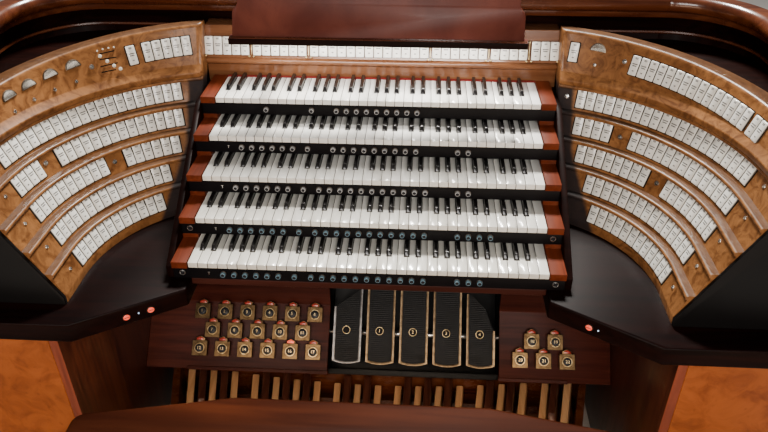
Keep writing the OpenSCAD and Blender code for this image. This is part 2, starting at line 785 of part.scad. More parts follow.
module swell_shoe(k) color("dimgray") at_keys() on_slope() translate([shoe_x(k), 0, 0]) difference() {
    union() {
        translate([0, 0, shoe_proud - shoe_t]) linear_extrude(shoe_t) shoe_outline(k);
        translate([-hub_w / 2, shaft_up, shaft_in]) rotate([0, 90, 0]) cylinder(h = hub_w, r = hub_r);
        block([-hub_w / 2, shaft_up - hub_r, shaft_in],
            [hub_w / 2, shaft_up + hub_r, shoe_proud - shoe_t + eps]);
    }
    translate([-shoe_w, shaft_up, shaft_in]) rotate([0, 90, 0])
        cylinder(h = 2 * shoe_w, r = shaft_r + shaft_clear);
}

module shoe_shaft() color("silver") at_keys() on_slope()
    translate([recess_in_x, shaft_up, shaft_in]) rotate([0, 90, 0])
        cylinder(h = recess_out_x - recess_in_x, r = shaft_r);

// Toe studs: a square bracket that carries a round push knob
stud_row = 56;
stud_low = 62;
stud_w = 46;
stud_body_w = 40;
stud_out = 26;
plate_t = 3;
lamp_w = 28;
lamp_h = 14;
STUDS_LEFT = [6, 5, 6];
STUDS_RIGHT = [3, 2];
stud_left_x = -533;
stud_right_x = 430;

module toe_stud() {
    block([-stud_body_w, -stud_body_w, 0] / 2, [stud_body_w / 2, stud_body_w / 2, stud_out - plate_t + eps]);
    translate([0, 0, stud_out - plate_t]) linear_extrude(plate_t) polygon([
        [-stud_w / 2, -stud_w / 2], [stud_w / 2, -stud_w / 2], [stud_w / 2, stud_w / 2],
        [lamp_w / 2, stud_w / 2], [lamp_w / 2, stud_w / 2 + lamp_h / 2], [0, stud_w / 2 + lamp_h],
        [-lamp_w / 2, stud_w / 2 + lamp_h / 2], [-lamp_w / 2, stud_w / 2], [-stud_w / 2, stud_w / 2]
    ]);
    translate([0, 0, stud_out - eps]) cylinder(h = 3, r = 15);
    translate([0, 0, stud_out]) cylinder(h = 9, r = 11.5);
}

module stud_rows(x0, rows_list) for (n = [0 : len(rows_list) - 1]) {
    inset = (rows_list[0] - rows_list[n]) * stud_pitch / 2;
    for (k = [0 : rows_list[n] - 1])
        translate([x0 + inset + k * stud_pitch, stud_low + n * stud_row, 0]) toe_stud();
}

module toe_studs() color("gold") at_keys() on_slope() {
    stud_rows(stud_left_x, STUDS_LEFT);
    stud_rows(stud_right_x, STUDS_RIGHT);
}

// Key desk and arms
desk_front_h = 18;
desk_step_y = 60;

module key_desk() color("maroon") at_keys() side_extrude(-notch_half, notch_half) polygon([
    [slip_y, desk_z], [slip_y, desk_z - desk_front_h], [desk_step_y, desk_z - desk_front_h],
    [desk_step_y, slab_z], [back_in_y, slab_z], [back_in_y, desk_z]
]);

module arm_outline() difference() {
    polygon([
        [notch_half, notch_y], [arm_turn_x, arm_front_y], [case_half + 6, arm_front_y],
        [case_half + 6, upper_front_y],
        [case_in, upper_front_y], [case_in, back_in_y], [notch_half, back_in_y]
    ]);
    corner_waste();
}

module arm_right() color("maroon") at_keys() translate([0, 0, slab_z]) linear_extrude(slab_t) arm_outline();
module arm_left() mirror([1, 0, 0]) arm_right();

// Round lit buttons in the front of the arms
arm_slope = atan((notch_y - arm_front_y) / (arm_turn_x - notch_half));
arm_len = (arm_turn_x - notch_half) / cos(arm_slope);
button_r = 9;

module arm_button(along) translate([notch_half, notch_y, slab_z + slab_t / 2]) rotate([0, 0, -arm_slope])
    translate([along, 0, 0]) rotate([90, 0, 0]) cylinder(h = 4, r = button_r);

module arm_buttons() color("red") at_keys() {
    arm_button(0.38 * arm_len);
    mirror([1, 0, 0]) {
        arm_button(0.33 * arm_len);
        arm_button(0.54 * arm_len);
    }
}

// Pedalboard
function is_sharp_step(k) = len(search((k + 9) % octave, [0, 1, 3, 4, 5])) > 0;
NATURAL_PEDALS = [-9 : 9];
SHARP_PEDALS = [for (k = [-9 : 8]) if (is_sharp_step(k)) k + 0.5];
pedal_top = pedal_z - keys_z;

// Moves children to a pedal: y along it, measured from the fan's centre, and z from its top
module at_pedal(k) {
    a = k * pedal_step;
    translate([0, pedal_cy, pedal_top + pedal_radius * (1 - cos(a))]) rotate([0, 0, -a]) rotate([0, -a, 0])
        children();
}

function along(k, y) = (y - pedal_cy) / cos(k * pedal_step);

module pedal_naturals() color("burlywood") at_keys() for (k = NATURAL_PEDALS) at_pedal(k)
    block([-pedal_w / 2, along(k, pedal_heel_y), -pedal_h], [pedal_w / 2, along(k, pedal_toe_y), 0]);

pedal_sharp_drop = 16;

module pedal_sharps() color("saddlebrown") at_keys() for (k = SHARP_PEDALS) at_pedal(k) {
    block([-pedal_w / 2, along(k, pedal_heel_y), -pedal_h],
        [pedal_w / 2, along(k, pedal_toe_y), -pedal_sharp_drop]);
    side_extrude(-pedal_w / 2, pedal_w / 2) polygon([
        [pedal_radius, -pedal_sharp_drop - eps], [pedal_radius, pedal_sharp_h * 0.4],
        [pedal_radius + 14, pedal_sharp_h],
        [along(k, pedal_toe_y), pedal_sharp_h], [along(k, pedal_toe_y), -pedal_sharp_drop - eps]
    ]);
}

frame_joint = 10;
cradle_d = 30;

// Stepped cross rail that carries every pedal
module cradle(y) intersection() {
    union() {
        for (k = concat([for (n = NATURAL_PEDALS) n], SHARP_PEDALS)) at_pedal(k)
            block([-pedal_w / 2, along(k, y), -2 * pedal_z],
                [pedal_w / 2, along(k, y) + cradle_d, -pedal_h]);
        half = along(frame_end_k, y) * sin(frame_end_k * pedal_step);
        block([-half - frame_joint, y, floor_z], [half + frame_joint, y + cradle_d, pedal_top - pedal_h]);
    }
    block([-far, -far, floor_z], [far, far, 0]);
}

module pedal_frame() color("maroon") at_keys() {
    cradle(pedal_heel_y + 20);
    cradle(pedal_toe_y - 60);
    end_x = along(frame_end_k, pedal_toe_y) * sin(frame_end_k * pedal_step);
    rail_top = pedal_top + pedal_radius * (1 - cos(frame_end_k * pedal_step)) + 12;
    block([-end_x - frame_joint, frame_back_y, floor_z],
        [end_x + frame_joint, frame_back_y + pedal_frame_t, rail_top]);
    both_sides() intersection() {
        translate([0, pedal_cy, 0]) rotate([0, 0, -frame_end_k * pedal_step])
            block([0, 0, floor_z], [pedal_frame_t, far + 2 * far, rail_top]);
        block([0, pedal_heel_y, floor_z], [far, frame_back_y + pedal_frame_t, far]);
    }
}

// Bench
seat_r = 30;

module seat_outline() {
    half = bench_l / 2;
    flat = half * 0.453;
    turn = atan(bench_bow / (half - flat));
    low = [half - seat_r, bench_back_y + seat_r];
    high = [half - seat_r, bench_front_y - (half - seat_r - flat) * tan(turn) - seat_r / cos(turn)];
    edge = concat(
        [for (a = [-90 : 15 : 0]) low + seat_r * [cos(a), sin(a)]],
        [for (k = [0 : 6]) high + seat_r * [cos(k / 6 * (90 - turn)), sin(k / 6 * (90 - turn))]],
        [[flat, bench_front_y]]
    );
    polygon(concat(edge, [for (k = [len(edge) - 1 : -1 : 0]) [-edge[k].x, edge[k].y]]));
}

module bench_seat() color("maroon") at_keys() translate([0, 0, bench_z - keys_z - seat_t])
    linear_extrude(seat_t) seat_outline();

bench_end_in = 560;
bench_end_inset = 20;
stretcher_h = 110;
stretcher_y = 40;
stretcher_t = 22;

module bench_frame() color("maroon") at_keys() {
    top = bench_z - keys_z - seat_t;
    both_sides() block([bench_end_in, bench_back_y + bench_end_inset, floor_z],
        [bench_end_in + bench_end_t, bench_front_y - bench_bow - bench_end_inset, top]);
    block([-bench_end_in - eps, bench_back_y + stretcher_y, top - stretcher_h],
        [bench_end_in + eps, bench_back_y + stretcher_y + stretcher_t, top]);
}

case_back();
case_side_left();
case_side_right();
top_rail_back();
top_rail_left();
top_rail_right();
front_panel_left();
front_panel_right();
knee_wall_left();
knee_wall_right();
kneeboard();
toe_board();
shoe_recess_back();
shoe_recess_sides();
key_desk();
arm_left();
arm_right();
key_frames();
key_cheeks();
key_stringers();
manual_naturals(0);  // manual_1_naturals
manual_naturals(1);  // manual_2_naturals
manual_naturals(2);  // manual_3_naturals
manual_naturals(3);  // manual_4_naturals
manual_naturals(4);  // manual_5_naturals
manual_sharps(0);  // manual_1_sharps
manual_sharps(1);  // manual_2_sharps
manual_sharps(2);  // manual_3_sharps
manual_sharps(3);  // manual_4_sharps
manual_sharps(4);  // manual_5_sharps
thumb_pistons();
coupler_rail();
coupler_tablets();
upper_deck();
jamb_left();
jamb_right();
jamb_ends();
stop_tablets_left();
stop_tablets_right();
swell_meters();
music_desk();
desk_brackets();
toe_studs();
swell_shoe(1);  // swell_shoe_1
swell_shoe(2);  // swell_shoe_2
swell_shoe(3);  // swell_shoe_3
swell_shoe(4);  // swell_shoe_4
swell_shoe(5);  // swell_shoe_5
shoe_shaft();
pedal_frame();
pedal_naturals();
pedal_sharps();
bench_seat();
bench_frame();
arm_buttons();
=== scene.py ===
import json
from math import asin, atan, cos, degrees, hypot, pi, radians, sin, sqrt, tan

import bmesh
import bpy
import numpy as np
from bpy.props import FloatProperty, FloatVectorProperty, PointerProperty
from mathutils import Matrix, Vector


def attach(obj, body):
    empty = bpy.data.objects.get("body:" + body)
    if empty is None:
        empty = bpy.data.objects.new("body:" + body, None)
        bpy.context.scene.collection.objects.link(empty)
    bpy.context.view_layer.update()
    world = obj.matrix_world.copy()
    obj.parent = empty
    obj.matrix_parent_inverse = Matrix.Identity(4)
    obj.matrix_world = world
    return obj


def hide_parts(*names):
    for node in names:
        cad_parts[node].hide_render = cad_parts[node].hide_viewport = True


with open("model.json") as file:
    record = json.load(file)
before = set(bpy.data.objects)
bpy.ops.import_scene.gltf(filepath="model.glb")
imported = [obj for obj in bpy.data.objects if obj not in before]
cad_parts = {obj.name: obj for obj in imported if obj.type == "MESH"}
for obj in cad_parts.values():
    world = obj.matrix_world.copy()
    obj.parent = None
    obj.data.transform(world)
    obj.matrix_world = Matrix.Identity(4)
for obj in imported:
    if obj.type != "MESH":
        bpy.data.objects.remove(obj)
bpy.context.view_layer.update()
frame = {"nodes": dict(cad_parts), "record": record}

bl_info = {
    "name": "Pipe organ console",
    "version": (1, 0, 0),
    "blender": (4, 5, 0),
    "location": "3D View > Sidebar > Console",
    "description": "Dresses the organ console's frame with its woods, keys, tablets and fittings",
    "category": "Object",
}

# Every length below is in millimetres from the key datum: the front edge of the lowest keys, at the height
# of their tops. The datum stands here in the frame.
SHIFT_Y, KEYS_Z = -53.5, 860.0
DATUM = Matrix.Translation((0, SHIFT_Y / 1000, KEYS_Z / 1000)) @ Matrix.Scale(0.001, 4)
MIRROR = Matrix.Diagonal((-1, 1, 1, 1))
SIDES = ((-1, "left", MIRROR), (1, "right", Matrix()))
FLOOR = -KEYS_Z

# Keyboards
MANUALS, SETBACK, RISE, KEYS_HALF = 5, 97, 62, 423
SLIP_Y, STACK_HALF, DESK_Z, SLAB_Z = 3, 478, -48, -98
PISTON_PITCH, PISTON_Z = 26.4, -31
COUPLER_Y, COUPLER_Z, COUPLER_LEAN = 538, 309, atan(22 / 84)
COUPLERS, COUPLER_GAP = (5, 6, 13, 6, 4, 3), 8
ROCKED_COUPLERS = {(2, 1): -0.10, (4, 0): 0.12}

# Stop jambs
JAMB_X, JAMB_Y, JAMB_LEG = 348, 1, 101
ROW_R, ROW_Z, ROW_BACK, ROW_UP, ROWS = 334, -22, 35.8, 59.6, 5
FACE_RUN, FACE_RISE, FACE_DROP, NOSING_R = 20, 49, 7, 5.3
TOP_FOOT_R, TOP_FOOT_Z = ROW_R + 162, ROW_Z - FACE_DROP + ROWS * ROW_UP
TOP_RUN, TOP_RISE = 39, 116
TOP_Z = TOP_FOOT_Z + TOP_RISE
JAMB_BACK_R = TOP_FOOT_R + TOP_RUN + 40
FACE_TILT, TOP_TILT = atan(FACE_RUN / FACE_RISE), atan(TOP_RUN / TOP_RISE)
TOP_FALL, FALL_Y, CROWN_Z = radians(4.5), 442, TOP_Z + 7
TAB_PITCH, TAB_GAP, TAB_L, TAB_T, SLOT_DEEP = 24.8, 1.6, 49, 11, 8
TOP_ROW_Z, TOP_RIGHT_PITCH, METER_Z, METER_R = 321, 22.9, 355, 20.5
LEFT_ROWS = ((38.8, (12,)), (32.5, (15,)), (26.2, (6, 10)), (23.2, (14, 4)), (22.2, (21,)))
RIGHT_ROWS = ((38.2, (12,)), (32.1, (15,)), (25.6, (8, 8)), (22.3, (4, 14)), (21.2, (21,)))

# Case, desk and toe board
CASE_HALF, CASE_IN, BACK_Y, CORNER_R, CASE_TOP, FRONT_Y = 985, 963, 640, 230, 425, -165
PANEL_X0, PANEL_X1, PANEL_T, PLINTH = 712.6, 962.8, 22, 90
NOTCH_HALF, NOTCH_Y, ARM_TURN_X, ARM_FRONT_Y = 422, -40, 645, -178
DESK_HALF, LEDGE_Z = 374, 402
TOE_Y, TOE_Z, SHOE_PROUD, SHOE_LOW, SHOE_L, SHOE_W = 215, -569, 25, 32, 228, 86
SHOE_X = [113 + (k - 3) * 100 for k in range(1, 6)]
STUD_PITCH, STUD_ROW, STUD_LOW, STUD_OUT, LIT_STUD = 69, 56, 62, 26, 16

SLOTS = {part["node"]: part["material_slot"] for part in frame["record"]["subparts"]}


def slot_colour(slot):
    """The colour that the record gives one of its material slots."""
    return next(m["base_color"] for m in frame["record"]["materials"] if m["slot"] == slot)


def edge(name, text, default):
    return FloatProperty(name=name, description=text, default=default, min=0, max=0.05, unit="LENGTH")


def colour(name, text, default):
    return FloatVectorProperty(name=name, description=text, default=default, min=0, max=1, subtype="COLOR")


def power(name, text, default):
    return FloatProperty(name=name, description=text, default=default, min=0, unit="POWER")


class ConsoleSizes(bpy.types.PropertyGroup):
    case_edge: edge("Case edges", "Rounding of the case's edges", 0.003)
    board_edge: edge("Board edges", "Rounding of thin boards and mouldings", 0.0015)
    arm_edge: edge("Arm edges", "Rounding of the arms beside the keys", 0.006)
    end_edge: edge("End boards", "Rounding of the jambs' end boards", 0.002)
    thin_edge: edge("Thin edges", "Rounding of end blocks and shoes", 0.0012)
    shaft_edge: edge("Shaft edges", "Rounding of the shoes' shaft", 0.0005)
    key_edge: edge("Key edges", "Rounding of the naturals' edges", 0.0007)
    sharp_edge: edge("Sharp edges", "Rounding of the sharps' edges", 0.0016)
    tablet_corner: edge("Tablet corners", "Radius of a stop tablet's corners", 0.0032)
    pedal_edge: edge("Pedal edges", "Rounding of the pedals' edges", 0.004)
    bench_edge: edge("Bench edges", "Rounding of the bench seat's edges", 0.012)


class ConsoleColours(bpy.types.PropertyGroup):
    mahogany_dark: colour("Mahogany, dark", "Dark streaks of the case's wood", (0.030, 0.008, 0.005))
    mahogany_light: colour("Mahogany, light", "Light streaks of the case's wood", (0.115, 0.030, 0.014))
    burl_dark: colour("Burl, dark", "Dark eyes of the jambs' veneer", (0.095, 0.034, 0.011))
    burl_light: colour("Burl, light", "Light figure of the jambs' veneer", (0.29, 0.125, 0.042))
    ivory: colour("Naturals", "White of the highest keyboard", (0.90, 0.89, 0.85))
    tablet: colour("Tablets", "Off-white of the stop tablets", (0.84, 0.83, 0.78))
    brass: colour("Brass", "Rings, numbers and posts", slot_colour("stud_brass"))
    lamp: colour("Lamps", "Red of the lit lamps", (1.0, 0.10, 0.05))


class StageSettings(bpy.types.PropertyGroup):
    floor: colour("Floor", "Plain pale floor", (0.62, 0.60, 0.57))
    key_watts: power("Key light", "Light above and behind the keys", 450)
    fill_watts: power("Fill light", "Soft light from the player's side", 105)
    low_watts: power("Low light", "Warm light on the pedals and panels", 30)
    pedal_watts: power("Pedal light", "Soft strip over the pedals", 2.2)
    desk_watts: power("Desk light", "Strip under the music desk", 2.0)


class Wiring:
    """Adds nodes to a shader tree and joins them up."""

    def __init__(self, tree):
        self.tree = tree

    def node(self, kind, inputs=(), **settings):
        made = self.tree.nodes.new("ShaderNode" + kind)
        for key, value in settings.items():
            setattr(made, key, value)
        for key, value in dict(inputs).items():
            self.feed(value, made.inputs[key])
        return made

    def feed(self, value, socket):
        if isinstance(value, bpy.types.NodeSocket):
            self.tree.links.new(value, socket)
        elif socket.type == "RGBA" and len(value) == 3:
            socket.default_value = (*value, 1)
        else:
            socket.default_value = value

    def math(self, operation, *values, clamp=False):
        return self.node("Math", enumerate(values), operation=operation, use_clamp=clamp).outputs[0]

    def add(self, a, b, clamp=False):
        return self.math("ADD", a, b, clamp=clamp)

    def minus(self, a, b):
        return self.math("SUBTRACT", a, b)

    def times(self, a, b):
        return self.math("MULTIPLY", a, b)

    def apart(self, a, b):
        return self.math("ABSOLUTE", self.minus(a, b))

    def stretch(self, a, b):
        return self.node("VectorMath", {0: a, 1: b}, operation="MULTIPLY").outputs[0]

    def mix(self, factor, a, b):
        return self.node("Mix", {0: factor, 6: a, 7: b}, data_type="RGBA").outputs[2]

    def noise(self, vector, scale, detail=4.0, roughness=0.5, distortion=0.0):
        sockets = {"Vector": vector, "Scale": scale, "Detail": detail, "Roughness": roughness,
                   "Distortion": distortion}
        return self.node("TexNoise", sockets).outputs[0]

    def between(self, value, low, high, to_low=0.0, to_high=1.0):
        """Turns a value between low and high smoothly into one between to_low and to_high."""
        sockets = {"Value": value, 1: low, 2: high, 3: to_low, 4: to_high}
        return self.node("MapRange", sockets, interpolation_type="SMOOTHSTEP").outputs[0]

    def split(self, vector):
        return self.node("SeparateXYZ", {0: vector}).outputs

    def geometry(self, name):
        return self.node("NewGeometry").outputs[name]

    def spot(self):
        """Across and along a piece, from 0 to 1, and its own chance."""
        return self.node("Attribute", attribute_name="place").outputs["Vector"]


KINDS = {"V": "NodeSocketVector", "F": "NodeSocketFloat", "C": "NodeSocketColor"}


def new_group(name, inputs, outputs):
    """An empty shader group with these sockets, and its wiring, inputs and outputs."""
    tree = bpy.data.node_groups.new(name, "ShaderNodeTree")
    for sockets, way in ((inputs, "INPUT"), (outputs, "OUTPUT")):
        for label, kind in sockets.items():
            tree.interface.new_socket(label, in_out=way, socket_type=KINDS[kind])
    given, out = tree.nodes.new("NodeGroupInput"), tree.nodes.new("NodeGroupOutput")
    return tree, Wiring(tree), given.outputs, out.inputs


def grain_group():
    """Wood grain: streaks along one axis, fine pores and slow changes of tone."""
    tree, w, given, out = new_group("Wood grain", dict(Place="V", Grain="V", Dark="C", Light="C"),
                                    dict(Colour="C", Pores="F"))
    along = w.stretch(given["Place"], given["Grain"])
    streaks = w.noise(along, 1.0, 5.0, 0.52, 0.6)
    bands = w.noise(along, 0.22, 3.0, 0.5, 1.2)
    pores = w.noise(along, 9.0, 3.0, 0.6)
    drift = w.noise(given["Place"], 2.3, 2.0)
    figure = w.between(w.add(w.times(streaks, 0.6), w.times(bands, 0.4)), 0.30, 0.70)
    toned = w.mix(w.times(figure, w.between(drift, 0.3, 0.7, 0.55, 1.0)), given["Dark"], given["Light"])
    w.feed(w.mix(w.between(pores, 0.58, 0.74, 0.0, 0.3), toned, given["Dark"]), out["Colour"])
    w.feed(pores, out["Pores"])
    return tree


def burl_group():
    """Burl veneer: swirls, small dark eyes and cloudy changes of tone."""
    tree, w, given, out = new_group("Burl figure", dict(Place="V", Scale="F", Dark="C", Light="C"),
                                    dict(Colour="C", Figure="F"))
    bent = w.node("TexNoise", {"Vector": given["Place"], "Scale": 7.0, "Detail": 3.0}).outputs[1]
    bend = w.stretch(bent, (0.09, 0.09, 0.09))
    shifted = w.node("VectorMath", {0: given["Place"], 1: bend}, operation="ADD").outputs[0]
    scaled = w.node("VectorMath", {0: shifted, "Scale": given["Scale"]}, operation="SCALE").outputs[0]
    swirls = w.noise(scaled, 1.0, 8.0, 0.62, 1.1)
    clouds = w.noise(scaled, 0.22, 3.0, 0.5, 0.8)
    eyes = w.node("TexVoronoi", {"Vector": scaled, "Scale": 2.6, "Smoothness": 0.6}, feature="SMOOTH_F1")
    figure = w.times(w.between(swirls, 0.26, 0.66), w.between(clouds, 0.28, 0.62, 0.70, 1.0))
    spotted = w.times(figure, w.between(eyes.outputs[0], 0.03, 0.22, 0.45, 1.0))
    w.feed(w.mix(spotted, given["Dark"], given["Light"]), out["Colour"])
    w.feed(swirls, out["Figure"])
    return tree


def handling_group():
    """Polish that hands and cloths have left uneven."""
    tree, w, given, out = new_group("Handling", dict(Place="V", Roughness="F", Spread="F"),
                                    dict(Roughness="F"))
    patches = w.noise(given["Place"], 14.0, 5.0, 0.6, 0.4)
    wipes = w.noise(w.stretch(given["Place"], (60.0, 420.0, 420.0)), 1.0, 2.0)
    both = w.add(w.times(patches, 0.75), w.times(wipes, 0.25))
    change = w.times(w.minus(both, 0.45), given["Spread"])
    w.feed(w.add(given["Roughness"], change, clamp=True), out["Roughness"])
    return tree


def dust_group():
    """A thin film of dust on whatever faces up."""
    tree, w, given, out = new_group("Settled dust", dict(Place="V", Amount="F", Colour="C"),
                                    dict(Colour="C", Film="F"))
    up = w.split(w.geometry("Normal"))[2]
    patchy = w.between(w.noise(given["Place"], 22.0, 6.0, 0.65), 0.35, 0.75, 0.35, 1.0)
    film = w.times(w.times(w.between(up, 0.55, 0.98), patchy), given["Amount"])
    w.feed(w.mix(film, given["Colour"], (0.42, 0.36, 0.30)), out["Colour"])
    w.feed(film, out["Film"])
    return tree


# Height, half height and half width of each broken line on a tablet, as shares of the tablet
DASHES = ((0.895, 0.014, 0.17), (0.845, 0.014, 0.15), (0.585, 0.022, 0.33), (0.485, 0.022, 0.26),
          (0.225, 0.024, 0.11))


def dashes_group():
    """Broken grey lines across a tablet's face. Place holds across, along and a chance."""
    tree, w, given, out = new_group("Broken lines", dict(Place="V"), dict(Mask="F"))
    across, along, chance = w.split(given["Place"])[:3]
    aside = w.apart(across, 0.5)
    lines = 0.0
    for height, half_height, half_width in DASHES:
        level = w.between(w.apart(along, height), half_height, half_height + 0.008, 1.0, 0.0)
        lines = w.add(lines, w.times(level, w.math("LESS_THAN", aside, half_width)))
    seed = w.add(w.times(chance, 61.0), w.times(along, 19.0))
    where = w.node("CombineXYZ", {0: w.times(across, 9.0), 1: seed, 2: 0.0}).outputs[0]
    strokes = w.between(w.noise(where, 1.9, 1.0, 0.6), 0.30, 0.40)
    w.feed(w.math("MULTIPLY", lines, strokes, clamp=True), out["Mask"])
    return tree


GROUPS = {}


def group(wiring, maker, **inputs):
    """Places a shared group in a material, making it the first time."""
    if maker.__name__ not in GROUPS:
        GROUPS[maker.__name__] = maker()
    made = wiring.tree.nodes.new("ShaderNodeGroup")
    made.node_tree = GROUPS[maker.__name__]
    for key, value in inputs.items():
        wiring.feed(value, made.inputs[key])
    return made.outputs


def new_finish(name, **constants):
    """An empty material, with its wiring, its shader and its place on the surface in metres."""
    finish = bpy.data.materials.new(name)
    finish.use_nodes = True
    shader = finish.node_tree.nodes["Principled BSDF"]
    wiring = Wiring(finish.node_tree)
    for key, value in constants.items():
        wiring.feed(value, shader.inputs[key.replace("_", " ")])
    return finish, wiring, shader, wiring.node("TexCoord").outputs["Object"]


def polish(wiring, place, roughness, spread):
    return group(wiring, handling_group, Place=place, Roughness=roughness, Spread=spread)["Roughness"]


def dress(wiring, shader, tone, roughness, height, depth):
    """Feeds a finish's colour, roughness and fine relief to its shader."""
    wiring.feed(tone, shader.inputs["Base Color"])
    wiring.feed(roughness, shader.inputs["Roughness"])
    bump = wiring.node("Bump", {"Height": height, "Distance": depth, "Strength": 1.0})
    wiring.feed(bump.outputs[0], shader.inputs["Normal"])


def wood(name, dark, light, grain, roughness=0.34, spread=0.14, coat=0.15, dust=0.02, shine=0.3):
    """Polished wood. Grain is how fast the figure changes along x, y and z."""
    finish, w, shader, place = new_finish(name, Coat_Weight=coat, Coat_Roughness=0.1,
                                          Specular_IOR_Level=shine)
    figure = group(w, grain_group, Place=place, Grain=grain, Dark=dark, Light=light)
    film = group(w, dust_group, Place=place, Amount=dust, Colour=figure["Colour"])
    rough = w.add(polish(w, place, roughness, spread), film["Film"], clamp=True)
    dress(w, shader, film["Colour"], rough, figure["Pores"], 0.00004)
    return finish


def burl(name, dark, light, scale, shade_painted=False):
    """Polished burl veneer. With painted shade, its terraces' up-facing tops go darker and their ends by the
    keys near-black.
    """
    finish, w, shader, place = new_finish(name, Coat_Roughness=0.12, Specular_IOR_Level=0.2)
    figure = group(w, burl_group, Place=place, Scale=scale, Dark=dark, Light=light)
    tone, inner_end_shade = figure["Colour"], 0.0
    if shade_painted:
        # Painted shade: the terraces' ends by the keys go near-black and bluish, with less coat and more
        # roughness
        x, _, z = w.split(place)[:3]
        below = w.math("MAXIMUM", w.minus(0.978, z), 0.0)
        limit = w.add(w.times(below, 0.33), 0.513)
        inner = w.between(w.minus(w.math("ABSOLUTE", x), limit), -0.004, 0.010, 1.0, 0.0)
        inner_end_shade = w.times(inner, w.between(z, 1.115, 1.135, 1.0, 0.0))
        # Painted shade: the terraces' up-facing tops go darker
        up = w.split(w.geometry("Normal"))[2]
        shaded_tops = w.mix(w.between(up, 0.80, 0.97, 0.0, 0.75), tone, [0.45 * c for c in dark])
        tone = w.mix(w.times(inner_end_shade, 0.94), shaded_tops, (0.007, 0.007, 0.010))
        w.feed(w.between(inner_end_shade, 0.0, 1.0, 0.07, 0.0), shader.inputs["Coat Weight"])
    film = group(w, dust_group, Place=place, Amount=0.06, Colour=tone)
    rough = w.add(polish(w, place, 0.33, 0.2), w.times(inner_end_shade, 0.35), clamp=True)
    dress(w, shader, film["Colour"], rough, figure["Figure"], 0.00006)
    return finish


def lacquer(name, tone, roughness=0.2, spread=0.14, dust=0.03, coat=0.3, shine=0.5):
    """Plain lacquer or plastic with handling marks and a little dust."""
    finish, w, shader, place = new_finish(name, Coat_Weight=coat, Coat_Roughness=0.08,
                                          Specular_IOR_Level=shine)
    cloudy = w.mix(w.between(w.noise(place, 9.0, 4.0), 0.3, 0.7, 0.0, 0.35), tone, [0.6 * c for c in tone])
    film = group(w, dust_group, Place=place, Amount=dust, Colour=cloudy)
    dress(w, shader, film["Colour"], polish(w, place, roughness, spread), w.noise(place, 260.0, 2.0), 0.00002)
    return finish


def metal(name, tone, tarnish, roughness=0.28):
    """Handled metal, with tarnish in clouds and fine wipe marks."""
    finish, w, shader, place = new_finish(name, Metallic=1.0)
    clouds = w.between(w.noise(place, 55.0, 5.0, 0.6), 0.38, 0.7, 0.0, 0.75)
    wipes = w.noise(w.stretch(place, (400.0, 3000.0, 3000.0)), 1.0, 2.0)
    dress(w, shader, w.mix(clouds, tone, tarnish), polish(w, place, roughness, 0.3), wipes, 0.00002)
    return finish


def glow(name, tone, strength):
    """A lit lens of cloudy plastic; on the dial, which is no lamp, the glow is painted light."""
    finish, w, shader, place = new_finish(name, Roughness=0.25, Emission_Strength=strength, Coat_Weight=0.6)
    cloudy = w.mix(w.noise(place, 160.0, 3.0), [0.55 * c for c in tone], tone)
    w.feed(cloudy, shader.inputs["Base Color"])
    w.feed(cloudy, shader.inputs["Emission Color"])
    return finish


def tablet_finish(name, tone):
    """Off-white tablet with broken grey lines and dark sides painted as shade in the gaps, each a little
    different.
    """
    finish, w, shader, place = new_finish(name, Coat_Weight=0.35, Coat_Roughness=0.06)
    spot = w.spot()
    across, _, chance = w.split(spot)[:3]
    mask = group(w, dashes_group, Place=spot)["Mask"]
    aged = w.mix(w.between(chance, 0.0, 1.0, 0.0, 0.25), tone, (0.70, 0.66, 0.56))
    inked = w.mix(w.times(mask, 0.92), aged, (0.03, 0.03, 0.035))
    # Painted shade: a dark strip at each side, as in the shaded gap between tablets
    tablet_gap_shade = w.mix(w.between(w.apart(across, 0.5), 0.462, 0.496, 0.0, 0.9), inked, (0.03, 0.022, 0.016))
    dress(w, shader, tablet_gap_shade, polish(w, place, 0.26, 0.14), mask, -0.0001)
    return finish


def ivory_finish(name, tone):
    """Naturals: white on the highest keyboard, greyer lower down as painted shade, fine lines, sides painted
    dark as gap shade.
    """
    finish, w, shader, place = new_finish(name, Coat_Weight=0.4, Coat_Roughness=0.05)
    z = w.split(place)[2]
    lines = w.noise(w.stretch(place, (900.0, 22.0, 22.0)), 1.0, 4.0, 0.6, 0.5)
    aged = w.mix(w.times(w.geometry("Random Per Island"), 0.28), tone, (0.74, 0.69, 0.56))
    # Painted shade: the lower keyboards go creamier and greyer
    low = w.mix(w.between(z, 0.84, 1.08, 0.34, 0.0), aged, (0.62, 0.58, 0.46))
    lined = w.mix(w.between(lines, 0.52, 0.75, 0.0, 0.09), low, (0.45, 0.38, 0.27))
    # Painted shade: the keys' sides go dark, as in the shaded gaps between keys
    key_side_shade = w.between(w.math("ABSOLUTE", w.split(w.geometry("Normal"))[0]), 0.5, 0.8)
    dress(w, shader, w.mix(key_side_shade, lined, (0.035, 0.028, 0.022)), polish(w, place, 0.2, 0.16), lines, 0.00001)
    return finish


def mat_finish(name):
    """Ribbed rubber of the shoes, scuffed where feet rest."""
    finish, w, shader, place = new_finish(name, Specular_IOR_Level=0.1)
    along = w.split(w.spot())[1]
    ribs = w.between(w.apart(w.math("FRACT", w.times(along, 38.0)), 0.5), 0.1, 0.4)
    scuffs = w.between(w.noise(place, 38.0, 6.0, 0.7), 0.45, 0.72)
    worn = w.mix(w.times(scuffs, 0.5), (0.0045, 0.0042, 0.0042), (0.017, 0.015, 0.0135))
    ribbed = w.mix(w.times(ribs, 0.25), worn, (0.005, 0.005, 0.005))
    relief = w.minus(w.times(scuffs, 0.2), ribs)
    dress(w, shader, ribbed, w.between(scuffs, 0.0, 1.0, 0.36, 0.6), relief, 0.0003)
    return finish


